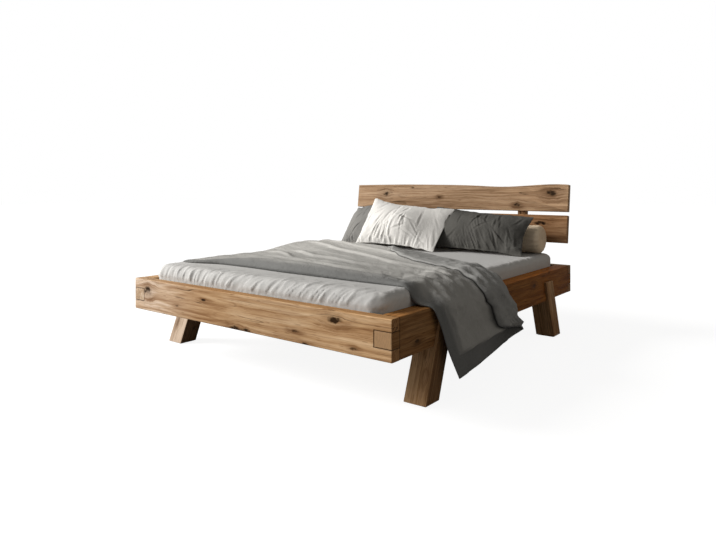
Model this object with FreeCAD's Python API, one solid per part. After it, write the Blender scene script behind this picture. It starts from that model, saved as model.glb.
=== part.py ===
import FreeCAD, Part
import math
import os
from FreeCAD import Vector

# A low double bed of solid oak beams: finger-jointed corners, four splayed legs let into the
# side beams, a leaning headboard of two planks on two posts, a slatted base and its bedding.
# Millimetres. X runs across the bed, +Y from foot to head, Z up. The origin is on the floor
# under the middle of the bed, at the foot of the centre leg.

# Lying surface
MATTRESS_WIDTH = 1600.0
MATTRESS_LENGTH = 2000.0
MATTRESS_HEIGHT = 170.0
MATTRESS_CLEARANCE = 5.0
MATTRESS_CORNER_RADIUS = 90.0
MATTRESS_TOP_ROUNDING = 50.0
SHEET_THICKNESS = 2.0
SHEET_HEM_RISE = 25.0

# Beams
SIDE_BEAM_THICKNESS = 88.0
END_BEAM_THICKNESS = 57.0
BEAM_HEIGHT = 175.0
BEAM_UNDERSIDE = 241.0
EDGE_CHAMFER = 3.0

# Finger joint at each corner
TONGUE_HEIGHT = 70.0
TONGUE_RISE = 52.0
TONGUE_CHAMFER = 1.5
JOINT_GAP = 0.8

# Legs
LEG_WIDTH = 114.0
LEG_DEPTH = 104.0
LEG_LEAN_DEG = 20.8
LEG_SETBACK = 236.0
LEG_PROUD = 13.0
LEG_HOUSING_DEPTH = 30.0
LEG_CHEEK_RISE = 116.0
HOUSING_GAP = 0.5
GLIDE_THICKNESS = 3.0
GLIDE_INSET = 9.0

# Headboard
HEADBOARD_TILT_DEG = 7.1
HEADBOARD_RISE = 149.0
HEADBOARD_SETBACK = 2.0
PLANK_WIDTH = 1766.0
PLANK_THICKNESS = 38.0
LOWER_PLANK_HEIGHT = 185.0
UPPER_PLANK_HEIGHT = 183.0
PLANK_GAP = 25.0
LIVE_EDGE_WAVE = 14.0
POST_WIDTH = 56.0
POST_DEPTH = 50.0
POST_OFFSET = 548.0
POST_TOP_INSET = 40.0
POST_TAIL_THICKNESS = 30.0
POST_TAIL_RISE = 25.0

# Slatted base and what carries it
SLAT_COUNT = 14
SLAT_WIDTH = 70.0
SLAT_THICKNESS = 20.0
SLAT_END_GAP = 3.0
STRAP_WIDTH = 25.0
STRAP_THICKNESS = 2.0
STRAP_INSET = 200.0
LEDGER_WIDTH = 40.0
LEDGER_HEIGHT = 40.0
LEDGER_END_GAP = 5.0
LEDGER_SCREW_COUNT = 5
CENTRE_BEAM_WIDTH = 60.0
CENTRE_BEAM_HEIGHT = 54.0
CENTRE_LEG_WIDTH = 58.0
CENTRE_STUD_EMBED = 34.0
HANGER_WALL = 3.0
HANGER_HEIGHT = 44.0
HANGER_REACH = 42.0
HANGER_EAR = 28.0

# Corner brackets
BRACKET_ARM = 60.0
BRACKET_HEIGHT = 30.0
BRACKET_THICKNESS = 5.0
BRACKET_RISE = 22.0
BRACKET_SCREW_NEAR = 24.0
BRACKET_SCREW_FAR = 46.0

# Fasteners
BOLT_RADIUS = 5.0
BOLT_HOLE_RADIUS = 5.5
HEX_SIDES = 6
BOLT_HEAD_FLATS = 16.0
BOLT_HEAD_HEIGHT = 6.4
BOLT_END_GAP = 2.0
WASHER_RADIUS = 10.0
WASHER_THICKNESS = 2.0
COUNTERBORE_RADIUS = 13.0
COUNTERBORE_DEPTH = 14.0
INSERT_RADIUS = 9.0
INSERT_LENGTH = 30.0
THREAD_CLEARANCE = 0.1
LEG_BOLT_LOW = 35.0
LEG_BOLT_HIGH = 85.0
POST_BOLT_LOW = 55.0
POST_BOLT_HIGH = 125.0
SCREW_RADIUS = 2.5
SCREW_HOLE_RADIUS = 2.6
SCREW_HEAD_RADIUS = 5.5
SCREW_HEAD_HEIGHT = 3.0
SCREW_GRIP = 28.0
PLANK_SCREW_SPREAD = 45.0

# Blanket
BLANKET_GAP = 0.6
BLANKET_LOFT = 42.0
BLANKET_HANG_THICKNESS = 12.0
BLANKET_LEFT_DROP = 66.0
BLANKET_FOOT_INSET = 210.0
BLANKET_HEAD_INSET = 515.0
BLANKET_HEAD_LEFT_INSET = 400.0
BLANKET_FOLD_RIGHT_INSET = 1105.0
BLANKET_HEM_FOOT_HEIGHT = 106.0
BLANKET_HEM_HEAD_HEIGHT = 193.0
BLANKET_HEM_FLARE = 84.0
BLANKET_HEM_FOOT_SHIFT = 105.0
BLANKET_HEM_HEAD_SHIFT = 122.0
BLANKET_FOLD_DEPTH = 16.0
BLANKET_FOLD_COUNT = 2
BLANKET_FLAP_REACH = 320.0
BLANKET_FLAP_START = 40.0
BLANKET_FLAP_THICKNESS = 10.0
BLANKET_FLAP_GAP = 1.5
BLANKET_EDGE_BULGE = 9.0
BLANKET_RIDGE_HEIGHT = 14.0
BLANKET_RIDGE_HALF_WIDTH = 42.0
BLANKET_HANG_UP_DEG = 80.0
EDGE_STEP_DEG = 30.0
EDGE_TURNS_DEG = (0.0, EDGE_STEP_DEG, 2 * EDGE_STEP_DEG, 3 * EDGE_STEP_DEG)

# Places across the lying surface as shares of its half width. At each: how far the turned-back
# edge has come down towards the foot, how much of its full reach is turned back, the loft and the
# ridges' height as shares of the full ones, and where the three ridges cross, as shares of the
# length from the foot edge to the turned-back edge.
BLANKET_ACROSS_SHARES = (-0.78, -0.50, -0.30, 0.07, 0.36, 0.62, 0.86)
BLANKET_FOLD_SHARES = (0.0, 0.0, 0.02, 0.29, 0.44, 0.60, 0.81)
BLANKET_FLAP_SHARES = (0.0, 0.0, 0.0, 0.45, 0.96, 1.0, 0.92)
BLANKET_LOFT_SHARES = (0.8, 0.85, 0.92, 1.0, 0.95, 0.75, 0.58)
BLANKET_RIDGE_SHARES = (0.3, 0.7, 0.9, 1.0, 1.0, 1.0, 1.0)
BLANKET_CROSSING_SHARES = ((0.26, 0.53, 0.78), (0.23, 0.48, 0.72), (0.19, 0.40, 0.64), (0.19, 0.41, 0.67),
                           (0.19, 0.42, 0.75), (0.22, 0.54, 0.79), (0.34, 0.64, 0.88))
BLANKET_LEFT_LOFT_SHARE = 0.75
BLANKET_RIGHT_LOFT_SHARE = 0.48
BLANKET_HEAD_LOFT_SHARE = 0.6
BLANKET_RIDGE_ROOM_SHARE = 0.105

# Places down the hanging side, and how much is turned back there, as shares
BLANKET_HANG_SHARES = (0.0, 0.3, 0.65, 0.86, 1.0)
BLANKET_HANG_FLAP_SHARES = (0.94, 0.88, 0.80, 0.74, 0.0)

# Pillows and neck roll
PILLOW_WIDTH_SHARE = 0.469
PILLOW_HEIGHT = 358.0
PILLOW_CROWN = 118.0
PILLOW_SEAT_GAP = 0.3
ROLL_RADIUS = 94.0
ROLL_LENGTH_SHARE = 0.95
ROLL_END_ROUNDING = 42.0
ROLL_HEADBOARD_GAP = 2.0

# Each pillow: middle of its lower seam as a share of the mattress's half width, and how far that
# is from the mattress's head end; then its lean from the horizontal, its turn about the vertical
# and its roll in its own plane.
GREY_PILLOW_SHARE = -0.53
WHITE_PILLOW_SHARE = -0.24
DARK_PILLOW_SHARE = 0.44
GREY_PILLOW_INSET = 325.0
WHITE_PILLOW_INSET = 472.0
DARK_PILLOW_INSET = 348.0
GREY_PILLOW_ANGLES_DEG = (60.0, -2.0, -1.5)
WHITE_PILLOW_ANGLES_DEG = (60.0, -4.0, -4.0)
DARK_PILLOW_ANGLES_DEG = (57.0, -2.0, -4.0)

# Shares of a pillow's half width, and the crown and half height there, as shares of the full ones
PILLOW_STATION_SHARES = (-1.0, -0.93, -0.72, -0.36, 0.0, 0.36, 0.72, 0.93, 1.0)
PILLOW_CROWN_SHARES = (0.10, 0.36, 0.74, 0.96, 1.0, 0.96, 0.74, 0.36, 0.10)
PILLOW_HEIGHT_SHARES = (1.0, 0.985, 0.955, 0.93, 0.92, 0.93, 0.955, 0.985, 1.0)

# Shares of the plank's width, and the live edge's height there as shares of its wave
LIVE_EDGE_STATION_SHARES = (0.0, 0.14, 0.30, 0.48, 0.62, 0.72, 0.80, 0.90, 1.0)
LIVE_EDGE_HEIGHT_SHARES = (-0.1, 0.15, 0.25, 0.0, -0.45, -1.0, -0.75, 0.05, 0.0)

OVERRUN = 20.0

# Sizes that follow from the ones above
HALF_INNER_WIDTH = MATTRESS_WIDTH / 2 + MATTRESS_CLEARANCE
HALF_INNER_LENGTH = MATTRESS_LENGTH / 2 + MATTRESS_CLEARANCE
HALF_WIDTH = HALF_INNER_WIDTH + SIDE_BEAM_THICKNESS
HALF_LENGTH = HALF_INNER_LENGTH + END_BEAM_THICKNESS
BEAM_TOP = BEAM_UNDERSIDE + BEAM_HEIGHT
BRACKET_UNDERSIDE = BEAM_UNDERSIDE + BRACKET_RISE
LEDGER_TOP = BEAM_UNDERSIDE + BRACKET_RISE + LEDGER_HEIGHT
LEDGER_HALF_LENGTH = HALF_INNER_LENGTH - BRACKET_ARM - LEDGER_END_GAP
MATTRESS_UNDERSIDE = LEDGER_TOP + SLAT_THICKNESS
MATTRESS_TOP = MATTRESS_UNDERSIDE + MATTRESS_HEIGHT
SHEET_TOP = MATTRESS_TOP + SHEET_THICKNESS
PILLOW_WIDTH = PILLOW_WIDTH_SHARE * MATTRESS_WIDTH
ROLL_LENGTH = ROLL_LENGTH_SHARE * MATTRESS_WIDTH
LEG_SLOPE = math.tan(math.radians(LEG_LEAN_DEG))
LEG_RUN = LEG_DEPTH / math.cos(math.radians(LEG_LEAN_DEG))
LEG_OUTER = HALF_WIDTH + LEG_PROUD
LEG_CHEEK_INNER = HALF_WIDTH - LEG_HOUSING_DEPTH
LEG_CHEEK_TOP = BEAM_UNDERSIDE + LEG_CHEEK_RISE
HEADBOARD_Y = HALF_INNER_LENGTH + HEADBOARD_SETBACK
HEADBOARD_SLANT = LOWER_PLANK_HEIGHT + PLANK_GAP + UPPER_PLANK_HEIGHT
TILT_SIN = math.sin(math.radians(HEADBOARD_TILT_DEG))
TILT_COS = math.cos(math.radians(HEADBOARD_TILT_DEG))
HEADBOARD_BOTTOM = BEAM_TOP + HEADBOARD_RISE

SIDES = {"left": -1, "right": 1}
ENDS = {"foot": -1, "head": 1}


def block(x0, x1, y0, y1, z0, z1):
    """A box between two corners, given in any order."""
    low = Vector(min(x0, x1), min(y0, y1), min(z0, z1))
    return Part.makeBox(abs(x1 - x0), abs(y1 - y0), abs(z1 - z0), low)


def prism(points, along):
    """A closed outline swept along a vector."""
    return Part.Face(Part.makePolygon(points + points[:1])).extrude(along)


def rod(radius, start, end):
    """A round bar between two points."""
    return Part.makeCylinder(radius, (end - start).Length, start, end - start)


def fused(shapes):
    """One solid from touching or overlapping ones."""
    return shapes[0].multiFuse(shapes[1:]).removeSplitter()


def eased_section(half_width, low, high):
    """Corners of an upright rectangle with its four corners eased, as (across, up) pairs."""
    c = EDGE_CHAMFER
    return [(-half_width + c, low), (half_width - c, low), (half_width, low + c), (half_width, high - c),
            (half_width - c, high), (-half_width + c, high), (-half_width, high - c), (-half_width, low + c)]


def bolt(seat, direction, length):
    """A hex bolt whose head sits on a washer at the seat, with its shank along the direction."""
    under_head = seat - direction * WASHER_THICKNESS
    corner_radius = BOLT_HEAD_FLATS / 2 / math.cos(math.pi / HEX_SIDES)
    side = Vector(0, 0, 1)
    across = direction.cross(side)
    corners = []
    for k in range(HEX_SIDES):
        turn = 2 * math.pi * k / HEX_SIDES
        spoke = side * math.cos(turn) + across * math.sin(turn)
        corners.append(under_head + spoke * corner_radius)
    head = prism(corners, direction * -BOLT_HEAD_HEIGHT)
    return fused([head, rod(BOLT_RADIUS, under_head, seat + direction * length)])


def washer(seat, direction):
    """A flat ring that lies on the seat, round the bolt."""
    back = seat - direction * WASHER_THICKNESS
    return rod(WASHER_RADIUS, back, seat).cut(rod(BOLT_HOLE_RADIUS, back, seat))


def insert(mouth, direction):
    """A threaded sleeve sunk into the wood from its mouth."""
    end = mouth + direction * INSERT_LENGTH
    return rod(INSERT_RADIUS, mouth, end).cut(rod(BOLT_RADIUS + THREAD_CLEARANCE, mouth, end))


def screw(seat, direction, length):
    """A pan-head wood screw with its head on the seat."""
    head = rod(SCREW_HEAD_RADIUS, seat - direction * SCREW_HEAD_HEIGHT, seat)
    return fused([head, rod(SCREW_RADIUS, seat, seat + direction * length)])


def screw_hole(seat, direction, length):
    """The hole that a screw of that length needs, open past its seat."""
    return rod(SCREW_HOLE_RADIUS, seat - direction * OVERRUN, seat + direction * length)


def leg_edge(height):
    """Distance from the bed's middle to a leg's outer sloping face, at a height."""
    return HALF_LENGTH - LEG_SETBACK - height * LEG_SLOPE


def leg_outline(x, end, low, high, grow):
    """The sloping outline of a leg between two heights, at one X, grown along Y."""
    corners = [(leg_edge(low) + grow, low), (leg_edge(low) - LEG_RUN - grow, low),
               (leg_edge(high) - LEG_RUN - grow, high), (leg_edge(high) + grow, high)]
    return [Vector(x, end * y, z) for y, z in corners]


def leg_bolt_seats(side, end):
    """Centres of a leg's bolt seats, at the bottom of their counterbores in the side beam."""
    seats = []
    for rise in (LEG_BOLT_LOW, LEG_BOLT_HIGH):
        z = BEAM_UNDERSIDE + rise
        y = end * (leg_edge(z) - LEG_RUN / 2)
        seats.append(Vector(side * (HALF_INNER_WIDTH + COUNTERBORE_DEPTH), y, z))
    return seats


def leg_insert_mouth(seat, side):
    return Vector(side * LEG_CHEEK_INNER, seat.y, seat.z)


def leg(side, end):
    """A splayed leg: its outer cheek laps the side beam, its shoulder carries the beam."""
    inner = LEG_OUTER - LEG_WIDTH
    outline = leg_outline(side * inner, end, GLIDE_THICKNESS, LEG_CHEEK_TOP, 0)
    shape = prism(outline, Vector(side * LEG_WIDTH, 0, 0))
    reach = HALF_LENGTH
    shape = shape.cut(block(side * (inner - OVERRUN), side * LEG_CHEEK_INNER, 0, end * reach,
                            BEAM_UNDERSIDE, LEG_CHEEK_TOP + OVERRUN))
    for seat in leg_bolt_seats(side, end):
        mouth = leg_insert_mouth(seat, side)
        shape = shape.cut(rod(INSERT_RADIUS, mouth, mouth + Vector(side * INSERT_LENGTH, 0, 0)))
    return shape


def leg_glide(side, end):
    """A felt pad under a leg, a little smaller than the leg's end."""
    outer = leg_edge(GLIDE_THICKNESS)
    return block(side * (LEG_OUTER - LEG_WIDTH + GLIDE_INSET), side * (LEG_OUTER - GLIDE_INSET),
                 end * (outer - GLIDE_INSET), end * (outer - LEG_RUN + GLIDE_INSET), 0, GLIDE_THICKNESS)


def bracket_screws(side, end):
    """(seat, direction) of the four screws of one corner bracket."""
    z = BRACKET_UNDERSIDE + BRACKET_HEIGHT / 2
    screws = []
    for reach in (BRACKET_SCREW_NEAR, BRACKET_SCREW_FAR):
        along_side = Vector(side * (HALF_INNER_WIDTH - BRACKET_THICKNESS), end * (HALF_INNER_LENGTH - reach), z)
        along_end = Vector(side * (HALF_INNER_WIDTH - reach), end * (HALF_INNER_LENGTH - BRACKET_THICKNESS), z)
        screws.append((along_side, Vector(side, 0, 0)))
        screws.append((along_end, Vector(0, end, 0)))
    return screws


def corner_bracket(side, end):
    """A steel angle in an inner corner of the frame."""
    x, y = side * HALF_INNER_WIDTH, end * HALF_INNER_LENGTH
    low, high = BRACKET_UNDERSIDE, BRACKET_UNDERSIDE + BRACKET_HEIGHT
    shape = fused([block(x, x - side * BRACKET_THICKNESS, y, y - end * BRACKET_ARM, low, high),
                   block(x, x - side * BRACKET_ARM, y, y - end * BRACKET_THICKNESS, low, high)])
    for seat, direction in bracket_screws(side, end):
        shape = shape.cut(screw_hole(seat, direction, BRACKET_THICKNESS))
    return shape


def ledger_screws(side):
    """(seat, direction) of the screws that hold one ledger to its side beam."""
    span = 2 * (LEDGER_HALF_LENGTH - LEDGER_WIDTH)
    screws = []
    for k in range(LEDGER_SCREW_COUNT):
        y = span * (k / (LEDGER_SCREW_COUNT - 1) - 0.5)
        seat = Vector(side * (HALF_INNER_WIDTH - LEDGER_WIDTH), y, LEDGER_TOP - LEDGER_HEIGHT / 2)
        screws.append((seat, Vector(side, 0, 0)))
    return screws


def ledger(side):
    """The strip on a side beam's inner face that the slats lie on."""
    x = side * HALF_INNER_WIDTH
    shape = block(x, x - side * LEDGER_WIDTH, -LEDGER_HALF_LENGTH, LEDGER_HALF_LENGTH,
                  LEDGER_TOP - LEDGER_HEIGHT, LEDGER_TOP)
    for seat, direction in ledger_screws(side):
        shape = shape.cut(screw_hole(seat, direction, LEDGER_WIDTH))
    return shape


def side_beam(side):
    """A long beam with a tongue on each end, housings for two legs and holes for what joins it."""
    middle = side * (HALF_INNER_WIDTH + SIDE_BEAM_THICKNESS / 2)
    section = eased_section(SIDE_BEAM_THICKNESS / 2, BEAM_UNDERSIDE, BEAM_TOP)
    body = prism([Vector(middle + x, -HALF_INNER_LENGTH, z) for x, z in section],
                 Vector(0, 2 * HALF_INNER_LENGTH, 0))
    tongue_low = BEAM_UNDERSIDE + TONGUE_RISE
    tongue = block(side * HALF_INNER_WIDTH, side * HALF_WIDTH, -HALF_LENGTH, HALF_LENGTH,
                   tongue_low, tongue_low + TONGUE_HEIGHT)
    end_edges = [e for e in tongue.Edges if e.BoundBox.YLength < TONGUE_CHAMFER]
    tongue = tongue.makeChamfer(TONGUE_CHAMFER, [e for e in end_edges])
    shape = fused([body, tongue])
    for end in ENDS.values():
        outline = leg_outline(side * LEG_CHEEK_INNER, end, BEAM_UNDERSIDE - OVERRUN,
                              LEG_CHEEK_TOP + HOUSING_GAP, HOUSING_GAP)
        shape = shape.cut(prism(outline, Vector(side * (LEG_HOUSING_DEPTH + OVERRUN), 0, 0)))
        for seat in leg_bolt_seats(side, end):
            inner_face = Vector(side * (HALF_INNER_WIDTH - OVERRUN), seat.y, seat.z)
            shape = shape.cut(rod(COUNTERBORE_RADIUS, inner_face, seat))
            shape = shape.cut(rod(BOLT_HOLE_RADIUS, seat, leg_insert_mouth(seat, side)))
        for seat, direction in bracket_screws(side, end):
            if direction.x:
                shape = shape.cut(screw_hole(seat, direction, BRACKET_THICKNESS + SCREW_GRIP))
    for seat, direction in ledger_screws(side):
        shape = shape.cut(screw_hole(seat, direction, LEDGER_WIDTH + SCREW_GRIP))
    return shape


def hanger_screws(end):
    """(seat, direction) of the two screws of one centre beam hanger."""
    x = CENTRE_BEAM_WIDTH / 2 + HANGER_WALL + HANGER_EAR / 2
    y = end * (HALF_INNER_LENGTH - HANGER_WALL)
    z = LEDGER_TOP - CENTRE_BEAM_HEIGHT + HANGER_HEIGHT / 2
    return [(Vector(s * x, y, z), Vector(0, end, 0)) for s in SIDES.values()]


def beam_hanger(end):
    """A steel shoe on an end beam that carries the end of the centre beam."""
    half = CENTRE_BEAM_WIDTH / 2
    seat = LEDGER_TOP - CENTRE_BEAM_HEIGHT
    top = seat + HANGER_HEIGHT
    face = end * HALF_INNER_LENGTH
    front = face - end * HANGER_REACH
    ear_tip = half + HANGER_WALL + HANGER_EAR
    walls = [block(-ear_tip, ear_tip, face, face - end * HANGER_WALL, seat, top),
             block(-half - HANGER_WALL, half + HANGER_WALL, face, front, seat - HANGER_WALL, seat)]
    for s in SIDES.values():
        walls.append(block(s * half, s * (half + HANGER_WALL), face, front, seat - HANGER_WALL, top))
    shape = fused(walls)
    for hole_seat, direction in hanger_screws(end):
        shape = shape.cut(screw_hole(hole_seat, direction, HANGER_WALL))
    return shape


def post_bolt_seats(side):
    """Centres of a post's bolt seats, on the back of its tail."""
    y = HALF_LENGTH + POST_TAIL_THICKNESS
    return [Vector(side * POST_OFFSET, y, BEAM_UNDERSIDE + rise) for rise in (POST_BOLT_LOW, POST_BOLT_HIGH)]


def end_beam(end):
    """A cross beam whose forked ends take the side beams' tongues."""
    middle = end * (HALF_INNER_LENGTH + END_BEAM_THICKNESS / 2)
    section = eased_section(END_BEAM_THICKNESS / 2, BEAM_UNDERSIDE, BEAM_TOP)
    shape = prism([Vector(-HALF_WIDTH, middle + y, z) for y, z in section], Vector(2 * HALF_WIDTH, 0, 0))
    slot_low = BEAM_UNDERSIDE + TONGUE_RISE - JOINT_GAP
    slot_high = BEAM_UNDERSIDE + TONGUE_RISE + TONGUE_HEIGHT
    for side in SIDES.values():
        shape = shape.cut(block(side * (HALF_INNER_WIDTH - JOINT_GAP), side * (HALF_WIDTH + OVERRUN),
                                end * (HALF_INNER_LENGTH - OVERRUN), end * (HALF_LENGTH + OVERRUN),
                                slot_low, slot_high))
        for seat, direction in bracket_screws(side, end):
            if direction.y:
                shape = shape.cut(screw_hole(seat, direction, BRACKET_THICKNESS + SCREW_GRIP))
        if end == ENDS["head"]:
            for seat in post_bolt_seats(side):
                mouth = Vector(seat.x, HALF_LENGTH, seat.z)
                shape = shape.cut(rod(INSERT_RADIUS, mouth, mouth - Vector(0, INSERT_LENGTH, 0)))
    for seat, direction in hanger_screws(end):
        shape = shape.cut(screw_hole(seat, direction, HANGER_WALL + SCREW_GRIP))
    return shape


def centre_beam():
    """The bearer under the middle of the slats, with a hole for the centre leg's stud."""
    half = CENTRE_BEAM_WIDTH / 2
    half_length = HALF_INNER_LENGTH - HANGER_WALL - JOINT_GAP
    low = LEDGER_TOP - CENTRE_BEAM_HEIGHT
    shape = block(-half, half, -half_length, half_length, low, LEDGER_TOP)
    return shape.cut(rod(BOLT_RADIUS, Vector(0, 0, low), Vector(0, 0, low + CENTRE_STUD_EMBED)))


def centre_leg():
    """The square leg under the centre beam."""
    half = CENTRE_LEG_WIDTH / 2
    top = LEDGER_TOP - CENTRE_BEAM_HEIGHT
    shape = block(-half, half, -half, half, GLIDE_THICKNESS, top)
    return shape.cut(rod(BOLT_RADIUS, Vector(0, 0, top - CENTRE_STUD_EMBED), Vector(0, 0, top)))


def centre_stud():
    """The threaded stud that joins the centre leg to the centre beam."""
    middle = LEDGER_TOP - CENTRE_BEAM_HEIGHT
    reach = CENTRE_STUD_EMBED
    return rod(BOLT_RADIUS - THREAD_CLEARANCE, Vector(0, 0, middle - reach), Vector(0, 0, middle + reach))


def centre_glide():
    """The felt pad under the centre leg."""
    half = CENTRE_LEG_WIDTH / 2 - GLIDE_INSET
    return block(-half, half, -half, half, 0, GLIDE_THICKNESS)


def slats(side):
    """One roll of loose slats, on the ledger and the centre beam."""
    span = 2 * (LEDGER_HALF_LENGTH - SLAT_WIDTH / 2)
    solids = []
    for k in range(SLAT_COUNT):
        y = span * (k / (SLAT_COUNT - 1) - 0.5)
        solids.append(block(side * SLAT_END_GAP, side * (HALF_INNER_WIDTH - SLAT_END_GAP),
                            y - SLAT_WIDTH / 2, y + SLAT_WIDTH / 2, LEDGER_TOP, LEDGER_TOP + SLAT_THICKNESS))
    return Part.makeCompound(solids)


def slat_straps(side):
    """The two webbing straps that space one roll of slats."""
    reach = LEDGER_HALF_LENGTH
    places = (STRAP_INSET, HALF_INNER_WIDTH - STRAP_INSET)
    return Part.makeCompound([block(side * (x - STRAP_WIDTH / 2), side * (x + STRAP_WIDTH / 2), -reach, reach,
                                    LEDGER_TOP - STRAP_THICKNESS, LEDGER_TOP) for x in places])


def slant_point(x, along, back):
    """A point in the headboard's leaning frame: up along it and back from its front face."""
    return Vector(x, HEADBOARD_Y + along * TILT_SIN + back * TILT_COS,
                  HEADBOARD_BOTTOM + along * TILT_COS - back * TILT_SIN)


BACKWARD = Vector(0, TILT_COS, -TILT_SIN)


def plank_screws(side):
    """(seat, direction) of the screws that hold both planks to one post, from behind."""
    lower_middle = LOWER_PLANK_HEIGHT / 2
    upper_middle = LOWER_PLANK_HEIGHT + PLANK_GAP + (UPPER_PLANK_HEIGHT - POST_TOP_INSET) / 2
    screws = []
    for middle in (lower_middle, upper_middle):
        for spread in (-PLANK_SCREW_SPREAD, PLANK_SCREW_SPREAD):
            seat = slant_point(side * POST_OFFSET, middle + spread, PLANK_THICKNESS + POST_DEPTH)
            screws.append((seat, BACKWARD * -1))
    return screws


def with_plank_holes(shape):
    for side in SIDES.values():
        for seat, direction in plank_screws(side):
            shape = shape.cut(screw_hole(seat, direction, POST_DEPTH + SCREW_GRIP))
    return shape


def lower_plank():
    """The straight plank of the headboard."""
    half = PLANK_WIDTH / 2
    corners = [slant_point(-half, 0, 0), slant_point(half, 0, 0),
               slant_point(half, LOWER_PLANK_HEIGHT, 0), slant_point(-half, LOWER_PLANK_HEIGHT, 0)]
    return with_plank_holes(prism(corners, BACKWARD * PLANK_THICKNESS))


def upper_plank():
    """The upper plank, whose top keeps the tree's own wavy edge."""
    half = PLANK_WIDTH / 2
    low = LOWER_PLANK_HEIGHT + PLANK_GAP
    edge_points = [slant_point(-half + share * PLANK_WIDTH, low + UPPER_PLANK_HEIGHT + rise * LIVE_EDGE_WAVE, 0)
                   for share, rise in zip(LIVE_EDGE_STATION_SHARES, LIVE_EDGE_HEIGHT_SHARES)]
    live_edge = Part.BSplineCurve()
    live_edge.interpolate(edge_points)
    low_left, low_right = slant_point(-half, low, 0), slant_point(half, low, 0)
    outline = Part.Wire([live_edge.toShape(), Part.makeLine(edge_points[-1], low_right),
                         Part.makeLine(low_right, low_left), Part.makeLine(low_left, edge_points[0])])
    return with_plank_holes(Part.Face(outline).extrude(BACKWARD * PLANK_THICKNESS))


def post(side):
    """A headboard post: it leans with the planks, stands on the head beam and laps its back."""
    front, back = PLANK_THICKNESS, PLANK_THICKNESS + POST_DEPTH
    x = side * POST_OFFSET - POST_WIDTH / 2
    top = HEADBOARD_SLANT - POST_TOP_INSET
    foot_along = (BEAM_TOP - HEADBOARD_BOTTOM + front * TILT_SIN) / TILT_COS
    tail_back = HALF_LENGTH + POST_TAIL_THICKNESS
    bend_along = (tail_back - HEADBOARD_Y - back * TILT_COS) / TILT_SIN
    tail_low = BEAM_UNDERSIDE + POST_TAIL_RISE
    outline = [slant_point(x, foot_along, front), slant_point(x, top, front), slant_point(x, top, back),
               slant_point(x, bend_along, back), Vector(x, tail_back, tail_low),
               Vector(x, HALF_LENGTH, tail_low), Vector(x, HALF_LENGTH, BEAM_TOP)]
    shape = prism(outline, Vector(POST_WIDTH, 0, 0))
    for seat, direction in plank_screws(side):
        shape = shape.cut(screw_hole(seat, direction, POST_DEPTH))
    for seat in post_bolt_seats(side):
        shape = shape.cut(rod(BOLT_HOLE_RADIUS, seat, Vector(seat.x, HALF_LENGTH, seat.z)))
    return shape


def soft_block(grow, low):
    """The mattress's rounded block, grown outwards on its sides and top."""
    half_x, half_y = MATTRESS_WIDTH / 2 + grow, MATTRESS_LENGTH / 2 + grow
    shape = block(-half_x, half_x, -half_y, half_y, low, MATTRESS_TOP + grow)
    upright = [e for e in shape.Edges if e.BoundBox.ZLength > MATTRESS_HEIGHT / 2]
    shape = shape.makeFillet(MATTRESS_CORNER_RADIUS + grow, upright)
    top_edges = [e for e in shape.Edges if e.BoundBox.ZMin > MATTRESS_TOP - MATTRESS_TOP_ROUNDING / 2]
    return shape.makeFillet(MATTRESS_TOP_ROUNDING + grow, top_edges)


def mattress():
    return soft_block(0, MATTRESS_UNDERSIDE)


def fitted_sheet():
    """The sheet's skin over the mattress's top and sides."""
    return soft_block(SHEET_THICKNESS, MATTRESS_UNDERSIDE + SHEET_HEM_RISE).cut(mattress())


def lens(x, half_height, half_crown):
    """A pillow's cross-section at one place along it: two arcs that meet at the seam."""
    low, high = Vector(x, -half_height, 0), Vector(x, half_height, 0)
    front = Part.Arc(low, Vector(x, 0, half_crown), high).toShape()
    back = Part.Arc(high, Vector(x, 0, -half_crown), low).toShape()
    return Part.Wire([front, back])


def pillow(across_share, head_inset, angles_deg):
    """A stuffed pillow, crowned in the middle and drawn in between its corners, set leaning."""
    sections = [lens(u * PILLOW_WIDTH / 2, h * PILLOW_HEIGHT / 2, c * PILLOW_CROWN / 2)
                for u, c, h in zip(PILLOW_STATION_SHARES, PILLOW_CROWN_SHARES, PILLOW_HEIGHT_SHARES)]
    shape = Part.makeLoft(sections, True, False)
    lean, turn, roll = angles_deg
    shape.translate(Vector(0, PILLOW_HEIGHT / 2, 0))
    shape.rotate(Vector(0, 0, 0), Vector(0, 0, 1), roll)
    shape.rotate(Vector(0, 0, 0), Vector(1, 0, 0), lean)
    shape.rotate(Vector(0, 0, 0), Vector(0, 0, 1), turn)
    lift = SHEET_TOP + PILLOW_SEAT_GAP - shape.BoundBox.ZMin
    shape.translate(Vector(across_share * MATTRESS_WIDTH / 2, MATTRESS_LENGTH / 2 - head_inset, lift))
    return shape


def neck_roll():
    """The long round bolster at the foot of the headboard."""
    z = SHEET_TOP + PILLOW_SEAT_GAP + ROLL_RADIUS
    front_at_z = HEADBOARD_Y + (z - HEADBOARD_BOTTOM) * TILT_SIN / TILT_COS
    y = front_at_z - ROLL_RADIUS / TILT_COS - ROLL_HEADBOARD_GAP
    half = ROLL_LENGTH / 2
    shape = rod(ROLL_RADIUS, Vector(-half, y, z), Vector(half, y, z))
    rims = [e for e in shape.Edges if e.BoundBox.XLength < ROLL_END_ROUNDING]
    return shape.makeFillet(ROLL_END_ROUNDING, rims)


def over_edge(side, turn_deg):
    """A place on the blanket's lower face as it rounds the mattress's top edge."""
    radius = (MATTRESS_TOP_ROUNDING + SHEET_THICKNESS + BLANKET_GAP) / math.cos(math.radians(EDGE_STEP_DEG / 2))
    turn = math.radians(turn_deg)
    x = MATTRESS_WIDTH / 2 - MATTRESS_TOP_ROUNDING + radius * math.sin(turn)
    return side * x, MATTRESS_TOP - MATTRESS_TOP_ROUNDING + radius * math.cos(turn)


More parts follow.
